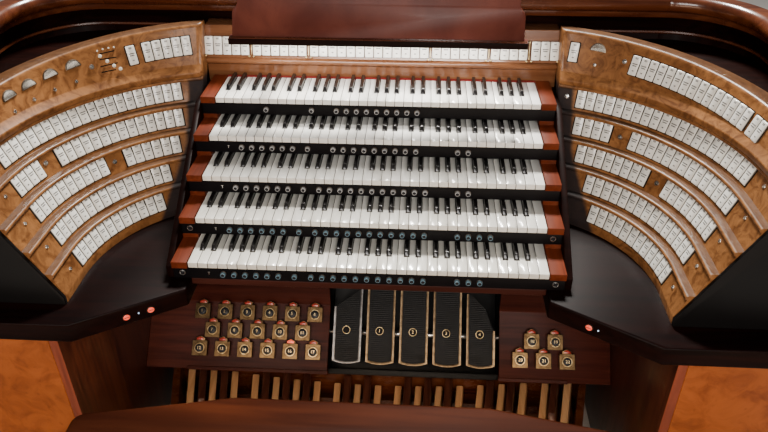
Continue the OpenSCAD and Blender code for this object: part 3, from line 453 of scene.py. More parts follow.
# Each finish's maker, its name, and what the maker takes. A word stands for one of the console's colours.
RECIPES = {
    "mahogany_across": (wood, "Mahogany, grain across", "mahogany_dark", "mahogany_light", (4, 66, 66)),
    "mahogany_upright": (wood, "Mahogany, grain upright", "mahogany_dark", "mahogany_light", (66, 66, 4)),
    # Painted shade: near-black mahogany for the case's inner faces, the upper deck, the cove, the stringers
    # and other shaded faces
    "shade": (wood, "Dark mahogany", (0.0032, 0.0008, 0.0006), (0.0125, 0.0028, 0.0018), (5, 60, 60),
              0.45, 0.1, 0.0, 0.0, 0.06),
    "arm": (wood, "Arm mahogany", (0.0025, 0.0008, 0.0008), (0.010, 0.0022, 0.0016), (5, 50, 50),
            0.4, 0.1, 0.0, 0.0, 0.07),
    "toe_wood": (wood, "Toe board mahogany", (0.022, 0.005, 0.0035), (0.085, 0.019, 0.011), (4, 60, 60),
                 0.4, 0.1, 0.0, 0.0, 0.08),
    "post": (wood, "Knee wall edges", (0.11, 0.020, 0.008), (0.27, 0.054, 0.018), (60, 60, 4),
             0.4, 0.1, 0.05, 0.0, 0.2),
    # Painted light: a lighter, more golden copy of the mahogany for the rails, mouldings, desk ledge and
    # pedal frame
    "rail": (wood, "Polished rail", (0.040, 0.0085, 0.0035), (0.150, 0.042, 0.014), (5, 34, 46),
             0.26, 0.12, 0.5, 0.01, 0.4),
    "coupler_wood": (wood, "Coupler rail", (0.105, 0.038, 0.015), (0.27, 0.112, 0.048), (6, 60, 60),
                     0.22, 0.1, 0.25, 0.0, 0.4),
    "desk": (wood, "Music desk", (0.085, 0.020, 0.014), (0.185, 0.052, 0.034), (9, 7, 7),
             0.38, 0.2, 0.05, 0.02, 0.25),
    "bench": (wood, "Bench mahogany", (0.0105, 0.0024, 0.0012), (0.040, 0.0105, 0.0040), (2.0, 26, 30),
              0.42, 0.14, 0.0, 0.0, 0.02),
    "key_desk": (wood, "Key desk mahogany", (0.020, 0.0055, 0.004), (0.056, 0.016, 0.011), (3, 34, 34),
                 0.38, 0.12, 0.0, 0.0, 0.06),
    "cheek": (wood, "Cheek wood", (0.080, 0.0135, 0.0045), (0.175, 0.033, 0.010), (60, 5, 60),
              0.45, 0.12, 0.0, 0.0, 0.08),
    "maple": (wood, "Pedal maple", (0.66, 0.33, 0.15), (0.92, 0.58, 0.31), (70, 4, 70), 0.42, 0.16, 0.1, 0.0),
    "pedal_dark": (wood, "Pedal sharps", (0.050, 0.015, 0.010), (0.15, 0.050, 0.030), (60, 3, 60),
                   0.3, 0.16, 0.2, 0.0),
    # The jambs' burl carries painted shade on the terraces' tops and on their ends by the keys
    "burl": (burl, "Jamb burl", "burl_dark", "burl_light", 34, True),
    "panel_burl": (burl, "Panel burl", (0.17, 0.034, 0.004), (0.34, 0.082, 0.010), 13),
    "black": (lacquer, "Black lacquer", (0.005, 0.0048, 0.0052), 0.45, 0.12, 0.0, 0.0, 0.15),
    "slip": (lacquer, "Key slips", (0.0035, 0.003, 0.004), 0.5, 0.12, 0.0, 0.0, 0.12),
    "felt": (lacquer, "Red felt", (0.16, 0.015, 0.012), 0.9, 0.1, 0.0, 0.0, 0.1),
    "ebony": (lacquer, "Ebony sharps", (0.008, 0.007, 0.007), 0.22, 0.16, 0.0, 0.25, 0.4),
    # Painted shade: the dark slot strips stand for the shaded depth of the slots
    "slot": (lacquer, "Slot lining", (0.006, 0.004, 0.003), 0.6, 0.2, 0.0, 0.0, 0.1),
    "piston": (lacquer, "Piston", (0.45, 0.46, 0.47), 0.28, 0.2, 0.0, 0.3),
    "piston_blue": (lacquer, "Low pistons", (0.15, 0.26, 0.33), 0.28, 0.2, 0.0, 0.3),
    "piston_eye": (lacquer, "Piston's eye", (0.012, 0.012, 0.015), 0.4, 0.2, 0.0, 0.0, 0.2),
    "pearl": (lacquer, "Pearl", (0.72, 0.66, 0.55), 0.22, 0.2, 0.0, 0.6),
    "rim": (metal, "Dark rim", (0.20, 0.16, 0.12), (0.07, 0.05, 0.04), 0.4),
    "brass": (metal, "Worn brass", "brass", (0.24, 0.14, 0.055), 0.3),
    "plate": (metal, "Stud plates", (0.14, 0.088, 0.042), (0.035, 0.020, 0.010), 0.34),
    "trim": (metal, "Tread trim", (0.27, 0.19, 0.11), (0.10, 0.065, 0.04), 0.42),
    "silver_trim": (metal, "Silver tread trim", (0.28, 0.27, 0.27), (0.12, 0.115, 0.11), 0.4),
    "nickel": (metal, "Nickel", (0.72, 0.71, 0.68), (0.34, 0.32, 0.29), 0.26),
    # Painted light: the dial glows though it is no lamp
    "dial": (glow, "Dial", (0.80, 0.74, 0.64), 0.34),
    "lamp": (glow, "Red lamp", "lamp", 1.3),
    "stud_lamp": (glow, "Stud lamps", (0.36, 0.035, 0.022), 0.2),
    "led": (glow, "Pale indicator", (0.55, 0.75, 1.0), 1.5),
    "ivory": (ivory_finish, "Ivory", "ivory"),
    "tablet": (tablet_finish, "Tablet", "tablet"),
    "mat": (mat_finish, "Shoe mat"),
}
FINISHES = {}


def finish(name):
    """A finish by name, made the first time it is asked for."""
    if name not in FINISHES:
        maker, label, *values = RECIPES[name]
        tones = bpy.context.scene.console_colours
        FINISHES[name] = maker(label, *[getattr(tones, v) if isinstance(v, str) else v for v in values])
    return FINISHES[name]


class Shape:
    """Gathers templates into one mesh. A template is points, faces and each point's across and along."""

    def __init__(self):
        self.points, self.faces, self.places, self.finishes, self.count = [], [], [], [], 0

    def add(self, template, matrix=Matrix(), number=0, chance=0.0):
        points, faces, places = template
        turn = np.array(matrix)
        self.points.append(points @ turn[:3, :3].T + turn[:3, 3])
        self.places.append(np.column_stack([places, np.full(len(points), chance)]))
        flip = np.linalg.det(turn[:3, :3]) < 0
        self.faces += [tuple(self.count + k for k in (face[::-1] if flip else face)) for face in faces]
        self.finishes += [number] * len(faces)
        self.count += len(points)
        return self

    def finish(self, name, finishes, slot=None, node=None, body="console", sharp=40):
        """Makes the piece. It stands for a node, whose slot it takes, or has a slot of its own."""
        mesh = bpy.data.meshes.new(name)
        mesh.from_pydata(np.concatenate(self.points).tolist(), [], self.faces)
        places = np.concatenate(self.places).astype(np.float32).ravel()
        mesh.attributes.new("place", "FLOAT_VECTOR", "POINT").data.foreach_set("vector", places)
        mesh.polygons.foreach_set("material_index", self.finishes)
        mesh.transform(DATUM)
        mesh.shade_smooth()
        mesh.set_sharp_from_angle(angle=radians(sharp))
        return place_piece(name, mesh, finishes, body, slot or SLOTS[node], (node,) if node else ())


def place_piece(name, mesh, finishes, body, slot, replaces):
    """Makes the object, gives it its finishes and hangs it on its body."""
    for each in [finishes] if isinstance(finishes, str) else finishes:
        mesh.materials.append(finish(each))
    mesh.validate()
    piece = bpy.data.objects.new(name, mesh)
    bpy.context.scene.collection.objects.link(piece)
    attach(piece, body)
    if replaces:
        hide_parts(*replaces)
    return piece


def faces_in(centre, normal):
    """Whether a face of the case looks inwards."""
    return normal.x * centre.x + normal.y * (centre.y - 0.1) < -0.05 * centre.length


def faces_front(centre, normal):
    return normal.y < -0.7


def is_ledge_edge(centre, normal):
    """Whether a face of the music desk is the front edge or the underside of its ledge, which take painted
    shade.
    """
    return centre.z < (LEDGE_Z + KEYS_Z) / 1000 and (normal.y < -0.7 or normal.z < -0.5)


def dressed(node, finish_name, edges=None, segments=2, sharp=35, name=None, body="console", other=None,
            where=faces_in):
    """A copy of a CAD node, which stands for it, with edges rounded by one of the console's sizes.

    Another finish goes on the faces that where picks."""
    mesh = frame["nodes"][node].data.copy()
    mesh.materials.clear()
    if edges:
        work = bmesh.new()
        work.from_mesh(mesh)
        bmesh.ops.remove_doubles(work, verts=work.verts, dist=2e-5)
        bmesh.ops.dissolve_limit(work, angle_limit=radians(0.6), verts=work.verts, edges=work.edges)
        bmesh.ops.connect_verts_concave(work, faces=work.faces)
        work.to_mesh(mesh)
        work.free()
    picked = [int(bool(other and where(face.center, face.normal))) for face in mesh.polygons]
    mesh.polygons.foreach_set("material_index", picked)
    finishes = (finish_name, other) if other else finish_name
    piece = place_piece(name or node.capitalize(), mesh, finishes, body, SLOTS[node], (node,))
    if not edges:
        mesh.shade_flat()
        return
    mesh.shade_smooth()
    bevel = piece.modifiers.new("Rounded edges", "BEVEL")
    bevel.width = getattr(bpy.context.scene.console_sizes, edges)
    bevel.segments, bevel.limit_method, bevel.angle_limit = segments, "ANGLE", radians(sharp)
    bevel.harden_normals, bevel.miter_outer = True, "MITER_ARC"


def move(x, y, z):
    return Matrix.Translation((x, y, z))


def turned(angle, axis):
    return Matrix.Rotation(angle, 4, axis)


LIE_DOWN = turned(-pi / 2, "X")


def skin(total, count):
    """Faces between rings of points that follow each other."""
    for n in range(total - 1):
        for k in range(count):
            a, b = n * count + k, n * count + (k + 1) % count
            yield a, b, b + count, a + count


def lathe(profile, steps=24):
    """A turned template about the y axis, from points of radius and y. A radius of 0 closes it."""
    turns = [2 * pi * k / steps for k in range(steps)]
    points = [(radius * cos(t), y, radius * sin(t)) for radius, y in profile for t in turns]
    places = [(0.5 + 0.5 * cos(t), 0.5 + 0.5 * sin(t)) for t in turns] * len(profile)
    return np.array(points, float), list(skin(len(profile), steps)), np.array(places)


def rungs(width, length, corner, inset, steps=4):
    """Half widths and heights up a rounded rectangle that starts at height 0."""
    half, radius = width / 2 - inset, max(corner - inset, 0.3)
    turns = [pi / 2 * k / steps for k in range(steps + 1)]
    low = [(half - radius * (1 - sin(t)), inset + radius * (1 - cos(t))) for t in turns]
    return low + [(w, length - z) for w, z in reversed(low)]


def slab(width, length, corner, layers, dome=0.0):
    """A rounded rectangle in x and z, raised in y by layers of inset and y, and closed at the last one."""
    points, places, count = [], [], 0
    for inset, y in layers:
        ladder = rungs(width, length, corner, inset)
        count = 2 * len(ladder)
        for x, z in ladder + [(-w, z) for w, z in reversed(ladder)]:
            lift = dome * (1 - abs(2 * z / length - 1)) if (inset, y) == layers[-1] else 0
            points.append((x, y - lift, z))
            places.append((x / width + 0.5, z / length))
    faces = [(a, d, c, b) for a, b, c, d in skin(len(layers), count)]
    first, last = (len(layers) - 1) * count, len(layers) * count - 1
    faces += [(first + k, last - k, last - 1 - k, first + k + 1) for k in range(count // 2 - 1)]
    return np.array(points, float), faces, np.array(places)


def sweep(rings, capped=True):
    """Skins rings of points, each with the same number of points."""
    rings = [np.array(r, float) for r in rings]
    count, total = len(rings[0]), len(rings)
    faces = list(skin(total, count))
    if capped:
        faces += [tuple(range(count))[::-1], tuple((total - 1) * count + k for k in range(count))]
    places = np.array([(k / count, n / total) for n in range(total) for k in range(count)], float)
    return np.concatenate(rings), faces, places


def sweep_along(places, ring):
    """Skins one ring of points, set at each of a row of places."""
    turns = [np.array(at) for at in places]
    return sweep([[turn[:3, :3] @ np.array(p) + turn[:3, 3] for p in ring] for turn in turns])


def box(low, high, chamfer=1.0):
    """A box with chamfered edges, from two corners."""
    rings = []
    for z, inset in ((low[2], chamfer), (low[2] + chamfer, 0), (high[2] - chamfer, 0), (high[2], chamfer)):
        x0, y0, x1, y1 = low[0] + inset, low[1] + inset, high[0] - inset, high[1] - inset
        cut = chamfer * 0.5 if inset else chamfer
        rings.append([(x0 + cut, y0, z), (x1 - cut, y0, z), (x1, y0 + cut, z), (x1, y1 - cut, z),
                      (x1 - cut, y1, z), (x0 + cut, y1, z), (x0, y1 - cut, z), (x0, y0 + cut, z)])
    return sweep(rings)


def moulding(width, height, section):
    """A mitred frame around a rectangle in x and z, from section points of distance inward and y."""
    corners = ((-1, -1), (1, -1), (1, 1), (-1, 1), (-1, -1))
    rings = [[(sx * (width / 2 - d), y, sz * (height / 2 - d)) for d, y in section] for sx, sz in corners]
    return sweep(rings, capped=False)


def at_manual(k):
    return move(0, k * SETBACK, k * RISE)


def on_jamb(radius, height, angle, tilt=FACE_TILT, roll=0.0):
    """A place on the right jamb's leaning face: y goes into the wood and z up the face."""
    here = move(JAMB_X, JAMB_Y, 0) @ turned(-angle, "Z") @ move(0, radius, height)
    return here @ turned(-tilt, "X") @ turned(roll, "Y")


def top_radius(height):
    return TOP_FOOT_R + (height - TOP_FOOT_Z) * TOP_RUN / TOP_RISE


def on_top(height, angle):
    """A place on the top terrace's face, whose rows fall towards the player."""
    lean, fall = TOP_RUN / TOP_RISE, tan(TOP_FALL)
    here = (height + (JAMB_Y - FALL_Y + cos(angle) * top_radius(0)) * fall) / (1 - lean * fall * cos(angle))
    return on_jamb(top_radius(here), here, angle, TOP_TILT, atan(fall * sin(angle)))


def on_side(side, matrix):
    """The same place on the right jamb, or mirrored onto the left one without mirroring the piece."""
    return matrix if side > 0 else MIRROR @ matrix @ MIRROR


def on_top_face(angle, height, side=1):
    """A place on the top terrace's face at an angle in degrees and a true height, without the rows' fall."""
    return on_side(side, on_jamb(top_radius(height), height, radians(angle), TOP_TILT))


def on_slope(x, up, out=0.0):
    """A place on the toe board's slope: x across, y up the slope and z out of it."""
    return move(0, TOE_Y, TOE_Z) @ turned(radians(45), "X") @ move(x, up, out)


def tablet_rows(side):
    """Every group of tablets in the curved rows of one jamb: radius, height, start angle, step and count."""
    for n, (start, counts) in enumerate(RIGHT_ROWS if side > 0 else LEFT_ROWS):
        radius = ROW_R + n * ROW_BACK
        step, angle = TAB_PITCH / radius, radians(start)
        for count in counts:
            yield radius, ROW_Z + n * ROW_UP, angle, step, count
            angle += (count + 2) * step


def top_tablets(side):
    """Pitch and place of every tablet in the top row of one jamb."""
    radius = top_radius(TOP_ROW_Z)
    groups = ((radians(17.2), 5, TAB_PITCH), (radians(32.8), 1, TAB_PITCH))
    if side > 0:
        pair = radians(34) + (15 * TOP_RIGHT_PITCH + 8) / radius
        groups = ((radians(16.5), 1, TAB_PITCH), (radians(34), 15, TOP_RIGHT_PITCH),
                  (pair, 2, TOP_RIGHT_PITCH))
    for start, count, pitch in groups:
        step = pitch / radius
        for k in range(count):
            yield pitch, on_side(side, on_top(TOP_ROW_Z, start + (k + 0.5) * step))


def tablet(pitch, corner):
    seat = SLOT_DEEP - 0.5
    front = seat - TAB_T
    layers = ((0, seat - 4), (0, front + 1.4), (0.35, front + 0.5), (1.3, front))
    return slab(pitch - TAB_GAP, TAB_L, corner, layers, dome=1.0)


def rocked(turn, deep=0):
    """Rocks a tablet about the middle of its length, at a depth."""
    return move(0, deep, TAB_L / 2) @ turned(turn, "X") @ move(0, -deep, -TAB_L / 2)


def arc(centre, radius, start, end, steps):
    turns = np.linspace(radians(start), radians(end), steps)
    return [(centre[0] + radius * cos(t), centre[1] + radius * sin(t)) for t in turns]


def corner_inset(radius, depth):
    """How far a rounded corner has run back at a depth from its end."""
    return radius - sqrt(radius ** 2 - (radius - depth) ** 2) if depth < radius else 0.0


def jamb_section(crown, depth=12.0):
    """Terraces of a jamb in radius and height, up to a rounded crown, at a depth from the inner end."""
    foot = ROW_R - FACE_DROP * FACE_RUN / FACE_RISE
    terraces = [(foot, DESK_Z)]
    for n in range(ROWS):
        r, z = foot + n * ROW_BACK, ROW_Z - FACE_DROP + n * ROW_UP
        head_r, head_z = r + FACE_RUN, z + FACE_RISE
        terraces += [(r, z + 0.2), (r + 0.4, z + 1.2), (head_r - 0.3, head_z - 0.8)]
        terraces += arc((head_r, head_z + NOSING_R), NOSING_R, 268, 92, 9)
        terraces.append((head_r + 3, head_z + 2 * NOSING_R + 0.1))
    front, low, last, bend = TOP_FOOT_R - 9, TOP_FOOT_Z, top_radius(crown), 9.0
    top = [(TOP_FOOT_R, low + 0.5), (front + 1, low + 1), (front, low + 2), (front, low + 12)]
    top += arc((front + 5, low + 12), 5, 180, 132, 5)
    top += [(top_radius(low + 30) - 1, low + 29), (top_radius(low + 31), low + 31)]
    middle, end = Vector((last, crown)), Vector((last + bend, crown))
    start = middle - bend * Vector((TOP_RUN, TOP_RISE)).normalized()
    top += [tuple(start.lerp(middle, t).lerp(middle.lerp(end, t), t)) for t in np.linspace(0, 1, 6)]
    line = [(r + corner_inset(5, depth), z) for r, z in terraces]
    line += [(r + corner_inset(12, depth), z) for r, z in top]
    line += [(JAMB_BACK_R - 3, crown), (JAMB_BACK_R, crown - 3), (JAMB_BACK_R, TOP_Z - 60)]
    return line + [(foot + 40, DESK_Z)]


def jamb_rings():
    """Rings of the right jamb, from the rounded end beside the keys round the curve and down the leg."""
    inner, sections, rings = STACK_HALF - JAMB_X, 84, []
    stations = [(depth, 0.0) for depth in (0.0, 0.5, 1.5, 3.0, 5.0, 8.0, 12.0)]
    stations += [(12.0, n / sections) for n in range(1, sections + 1)]

    def angle(radius, depth, share):
        start = asin((inner + depth) / radius)
        return start + share * (pi / 2 - start)

    for depth, share in stations:
        crown = CROWN_Z
        for _ in range(6):
            radius = top_radius(crown)
            y = JAMB_Y + radius * cos(angle(radius, depth, share))
            crown = CROWN_Z + (y - FALL_Y) * tan(TOP_FALL)
        ring = [(r, z, angle(r, depth, share)) for r, z in jamb_section(crown, depth)]
        rings.append([(JAMB_X + r * sin(turn), JAMB_Y + r * cos(turn), z) for r, z, turn in ring])
    for y in (-30, -60, JAMB_Y - JAMB_LEG):
        section = jamb_section(CROWN_Z + (y - FALL_Y) * tan(TOP_FALL))
        rings.append([(JAMB_X + r, y, z) for r, z in section])
    return rings


def screw(radius, proud):
    """A round screw cup with a domed head."""
    shares = ((1, 0.45), (0.86, 0.75), (0.62, 0.8), (0.55, 0.55), (0.48, 0.9), (0.2, 1), (0, 1))
    return lathe([(radius, 0.5)] + [(radius * wide, -proud * out) for wide, out in shares], 18)


def digits(text, size, proud):
    """Plain figures as a template, centred, flat in x and y and raised in z."""
    curve = bpy.data.curves.new("Figures", "FONT")
    curve.body, curve.size, curve.extrude, curve.resolution_u = text, size, proud / 2, 3
    curve.align_x, curve.align_y = "CENTER", "CENTER"
    holder = bpy.data.objects.new("Figures", curve)
    bpy.context.scene.collection.objects.link(holder)
    bpy.context.view_layer.update()
    mesh = holder.evaluated_get(bpy.context.evaluated_depsgraph_get()).to_mesh()
    points = np.array([v.co for v in mesh.vertices], float)
    faces = [tuple(p.vertices) for p in mesh.polygons]
    bpy.data.objects.remove(holder)
    bpy.data.curves.remove(curve)
    return points, faces, np.full((len(points), 2), 0.5)


class BuildCase(bpy.types.Operator):
    """Dresses the case, its rail, panels, desk slab and arms"""
    bl_idname = "console.build_case"
    bl_label = "Case"

    def execute(self, context):
        # Painted shade: the case's inward faces, the arms' front faces and the upper deck take the near-black
        # mahogany
        dressed("case_back", "mahogany_upright", "board_edge", other="shade")
        for _, word, _ in SIDES:
            dressed("case_side_" + word, "mahogany_upright", "board_edge", other="shade")
            dressed("top_rail_" + word, "rail", "board_edge")
            dressed("knee_wall_" + word, "mahogany_upright", "board_edge", other="post", where=faces_front)
            dressed("arm_" + word, "arm", "arm_edge", 4, other="shade", where=faces_front)
        dressed("top_rail_back", "rail", "board_edge")
        dressed("kneeboard", "mahogany_across", "board_edge")
        dressed("toe_board", "toe_wood", "board_edge")
        dressed("key_desk", "key_desk", "case_edge", 3)
        dressed("upper_deck", "shade", "board_edge")
        dressed("shoe_recess_back", "black", "board_edge")
        dressed("shoe_recess_sides", "black", "board_edge")
        self.front_panels()
        self.panel_mouldings()
        self.rail_cove()
        nosing = Shape()
        for x0, x1 in ((-574, -142), (368, 574)):
            nosing.add(box((x0, -3, -3), (x1, 9, 2.2), 1.8), on_slope(0, 0))
        nosing.finish("Toe_nosing", "toe_wood", "mahogany")
        return {"FINISHED"}

    def front_panels(self):
        """Plain burl boards beside the kneehole, on their plinths."""
        back, plinth = FRONT_Y + PANEL_T, FLOOR + PLINTH
        board = box((PANEL_X0, FRONT_Y, plinth), (PANEL_X1, back, SLAB_Z))
        foot = box((PANEL_X0, FRONT_Y - 12, FLOOR), (PANEL_X1, back, plinth), 3)
        for _, word, turn in SIDES:
            shape = Shape().add(board, turn).add(foot, turn, 1)
            shape.finish("Front_panel_" + word, ("panel_burl", "mahogany_across"), node="front_panel_" + word)

    def panel_mouldings(self):
        """Mouldings around the sunk panels of the sides and the back."""
        section = ((-6, 1.0), (-6, -2.5), (-3, -4.2), (1, -4.5), (4, -3.0), (7, 1.0), (10, 4.0), (12, 4.8),
                   (12, 7.2))
        shape = Shape()
        y1 = BACK_Y - CORNER_R - 50
        for side, _, _ in SIDES:
            for y0, z0, z1 in ((FRONT_Y + 60, FLOOR + 160, SLAB_Z - 60), (-52, DESK_Z + 60, CASE_TOP - 70)):
                at = move(side * CASE_HALF, (y0 + y1) / 2, (z0 + z1) / 2)
                shape.add(moulding(y1 - y0, z1 - z0, section), at @ turned(side * pi / 2, "Z"))
        field, z0, z1 = (CASE_HALF - CORNER_R) * 2 / 3, FLOOR + 170, CASE_TOP - 80
        for k in (-1, 0, 1):
            at = move(k * field, BACK_Y, (z0 + z1) / 2)
            shape.add(moulding(field - 120, z1 - z0, section), at @ turned(pi, "Z"))
        shape.finish("Panel_mouldings", "mahogany_across", "mahogany")

    def rail_cove(self):
        """Moulding under the rail: a fillet and a bead in the lighter rail finish as painted light, and a
        cove in painted shade.
        """
        cove = [(12.5 - 9 * t, 409 - 24 * t - 14 * t ** 3) for t in (0, 0.2, 0.4, 0.6, 0.8, 1.0)]
        shape = Shape()
        shape.add(self.round_case([(-0.4, 425), (14, 425), (14, 411), (12.5, 409), (-0.4, 409)]))
        # Painted shade in the cove
        shape.add(self.round_case([(-0.4, 409)] + cove + [(-0.4, 371)]), number=1)
        shape.add(self.round_case([(-0.4, 371), (9, 371), (10, 367), (7, 363.5), (-0.4, 362.5)]))
        shape.finish("Rail_cove", ("rail", "shade"), "mahogany")

    def round_case(self, section):
        """A moulding round the inside of the case, from section points of distance inwards and height."""
        turn, x, y = CORNER_R + CASE_IN - CASE_HALF, CASE_HALF - CORNER_R, BACK_Y - CORNER_R
        path = [(CASE_IN, 60, -1, 0), (CASE_IN, 250, -1, 0)]
        path += [(x + turn * cos(t), y + turn * sin(t), -cos(t), -sin(t)) for t in np.linspace(0, pi / 2, 13)]
        path += [(-x, y, -nx, ny) for x, y, nx, ny in reversed(path)]
        return sweep([[(x + nx * d, y + ny * d, z) for d, z in section] for x, y, nx, ny in path])


class BuildJambs(bpy.types.Operator):
    """Builds the two terraced stop jambs with their slots and end boards"""
    bl_idname = "console.build_jambs"
    bl_label = "Stop jambs"

    def execute(self, context):
        body = sweep(jamb_rings())
        for side, word, turn in SIDES:
            Shape().add(body, turn).finish("Jamb_" + word, "burl", node="jamb_" + word, sharp=50)
            slots = Shape()
            for radius, z, start, step, count in tablet_rows(side):
                slots.add(self.slot_strip(radius, z, start, start + count * step), turn)
            for pitch, at in top_tablets(side):
                plate = slab(pitch + 3.2, TAB_L + 4, 2.0, ((0, 0.6), (0, -0.25), (0.3, -0.4)))
                slots.add(plate, at @ move(0, 0, -2))
            slots.finish("Slot_linings_" + word, "slot", "black_wood")
        dressed("jamb_ends", "black", "end_edge")
        return {"FINISHED"}

    def slot_strip(self, radius, z, start, end):
        """Dark strip on the face standing for one slot's shaded depth, painted shade that shows as a thin
        border round its tablets.
        """
        margin = 1.9 / radius
        turns = np.linspace(start - margin, end + margin, max(4, int((end - start) * 40)))
        ring = ((0, 0.6, -2.2), (0, -0.3, -2.0), (0, -0.3, TAB_L + 2.0), (0, 0.6, TAB_L + 2.2))
        return sweep_along([on_jamb(radius, z, turn) for turn in turns], ring)


class BuildTablets(bpy.types.Operator):
    """Builds the stop tablets, the coupler rail and the coupler tablets"""
    bl_idname = "console.build_tablets"
    bl_label = "Tablets"

    def execute(self, context):
        corner = context.scene.console_sizes.tablet_corner * 1000
        template, chance = tablet(TAB_PITCH, corner), np.random.default_rng(7)
        for side, word, _ in SIDES:
            shape = Shape()
            for radius, z, start, step, count in tablet_rows(side):
                for k in range(count):
                    at = on_side(side, on_jamb(radius, z, start + (k + 0.5) * step))
                    shape.add(template, at @ rocked(chance.normal(0, 0.012)), chance=chance.random())
            for pitch, at in top_tablets(side):
                shape.add(tablet(pitch, corner), at, chance=chance.random())
            shape.finish("Stop_tablets_" + word, "tablet", node="stop_tablets_" + word)
        dressed("coupler_rail", "coupler_wood", "board_edge", sharp=28)
        self.couplers(template, chance)
        felt = box((-KEYS_HALF, 530, 248), (KEYS_HALF, 536.5, 252), 0.8)
        Shape().add(felt).finish("Key_felt", "felt", "cheek_wood")
        return {"FINISHED"}

    def couplers(self, template, chance):
        """Coupler tablets on their rail, with a peg at each end of a group and a post between groups."""
        tablets, posts = Shape(), Shape()
        x = -(sum(COUPLERS) * TAB_PITCH + (len(COUPLERS) - 1) * COUPLER_GAP) / 2
        post = lathe(((0, 1), (1.8, 1), (2.2, -1), (1.6, -4), (1.6, -40), (2.4, -43), (2.4, -46), (1.2, -49),
                      (0, -49)), 12)
        peg = lathe(((2.2, 2), (2.2, -2), (3.0, -3), (3.0, -5), (1.6, -6.4), (0, -6.6)), 12)
        face = move(0, COUPLER_Y + 8 * tan(COUPLER_LEAN), COUPLER_Z) @ turned(-COUPLER_LEAN, "X")
        for n, count in enumerate(COUPLERS):
            for k in range(count):
                at = face @ move(x + (k + 0.5) * TAB_PITCH, -SLOT_DEEP, 0)
                rock = rocked(ROCKED_COUPLERS.get((n, k), 0.0), 3)
                tablets.add(template, at @ rock, chance=chance.random())
            for end in (x + 2, x + count * TAB_PITCH - 2):
                posts.add(peg, face @ move(end, -6, -3))
            x += count * TAB_PITCH + COUPLER_GAP
            if n < len(COUPLERS) - 1:
                posts.add(post, face @ move(x - COUPLER_GAP / 2, -5, 2) @ LIE_DOWN)
        tablets.finish("Coupler_tablets", "tablet", node="coupler_tablets")
        posts.finish("Coupler_posts", "brass", "stud_brass")


class BuildKeys(bpy.types.Operator):
    """Dresses the keys, their frames and end blocks, and builds the thumb pistons"""
    bl_idname = "console.build_keys"
    bl_label = "Keyboards"

    def execute(self, context):
        for k in range(1, MANUALS + 1):
            dressed(f"manual_{k}_naturals", "ivory", "key_edge", name=f"Naturals_{k}")
            dressed(f"manual_{k}_sharps", "ebony", "sharp_edge", 3, 20, f"Sharps_{k}")
        dressed("key_frames", "slip", "board_edge")
        dressed("key_cheeks", "cheek", "thin_edge")
        # Painted shade: the stringers beside the keys take the near-black mahogany
        dressed("key_stringers", "shade", "board_edge")
        self.pistons()
        self.slip_marks()
        return {"FINISHED"}

    def piston_rows(self):
        """Places of the thumb pistons across each keyboard, lowest first."""
        def run(x, count):
            return [x + k * PISTON_PITCH for k in range(count)]

        middle = {count: run(-(count - 1) / 2 * PISTON_PITCH, count) for count in (9, 11)}
        left = run(-341.5, 6) + [-171]
        rows = [left + middle[n] + run(211.5, right) for n, right in ((11, 3), (11, 4), (11, 2), (9, 2))]
        return rows + [[-291, -171] + middle[9]]

    def pistons(self):
        collar = lathe(((7.5, 0.4), (7.5, -1.4), (6.9, -2.1), (6.2, -2.1)))
        button = lathe(((6.0, 0.4), (6.0, -7.8), (5.7, -8.6), (5.0, -9.0), (4.3, -8.9)))
        eye = lathe(((4.3, -8.9), (3.4, -8.2), (2.0, -7.8), (0, -7.7)))
        shape = Shape()
        for k, places in enumerate(self.piston_rows()):
            for x in places:
                at = at_manual(k) @ move(x, SLIP_Y, PISTON_Z)
                shape.add(collar, at).add(button, at, 3 if k < 2 else 1).add(eye, at, 2)
        shape.finish("Thumb_pistons", ("rim", "piston", "piston_eye", "piston_blue"), node="thumb_pistons")

    def slip_marks(self):
        """Small metal marks on four slips, and the key switches beside the two lowest keyboards."""
        marks = Shape()
        ring = lathe(((7.4, 0.3), (7.4, -1.6), (6.8, -2.2), (5.8, -2.2), (5.3, -1.4)))
        hole = lathe(((5.3, -0.2), (5.3, -0.5), (0, -0.5)))
        head = box((-378.5, SLIP_Y - 1.4, PISTON_Z + 2), (-373.5, SLIP_Y + 0.4, PISTON_Z + 4.4), 0.4)
        stem = box((-377, SLIP_Y - 1.2, PISTON_Z - 4), (-375, SLIP_Y + 0.4, PISTON_Z + 2), 0.3)
        for k in range(4):
            marks.add(head, at_manual(k)).add(stem, at_manual(k))
            for x in (-440, 440) if k < 2 else ():
                at = at_manual(k) @ move(x, SLIP_Y, PISTON_Z)
                marks.add(ring, at).add(hole, at, 1)
        marks.finish("Slip_marks", ("nickel", "piston_eye"), "steel")


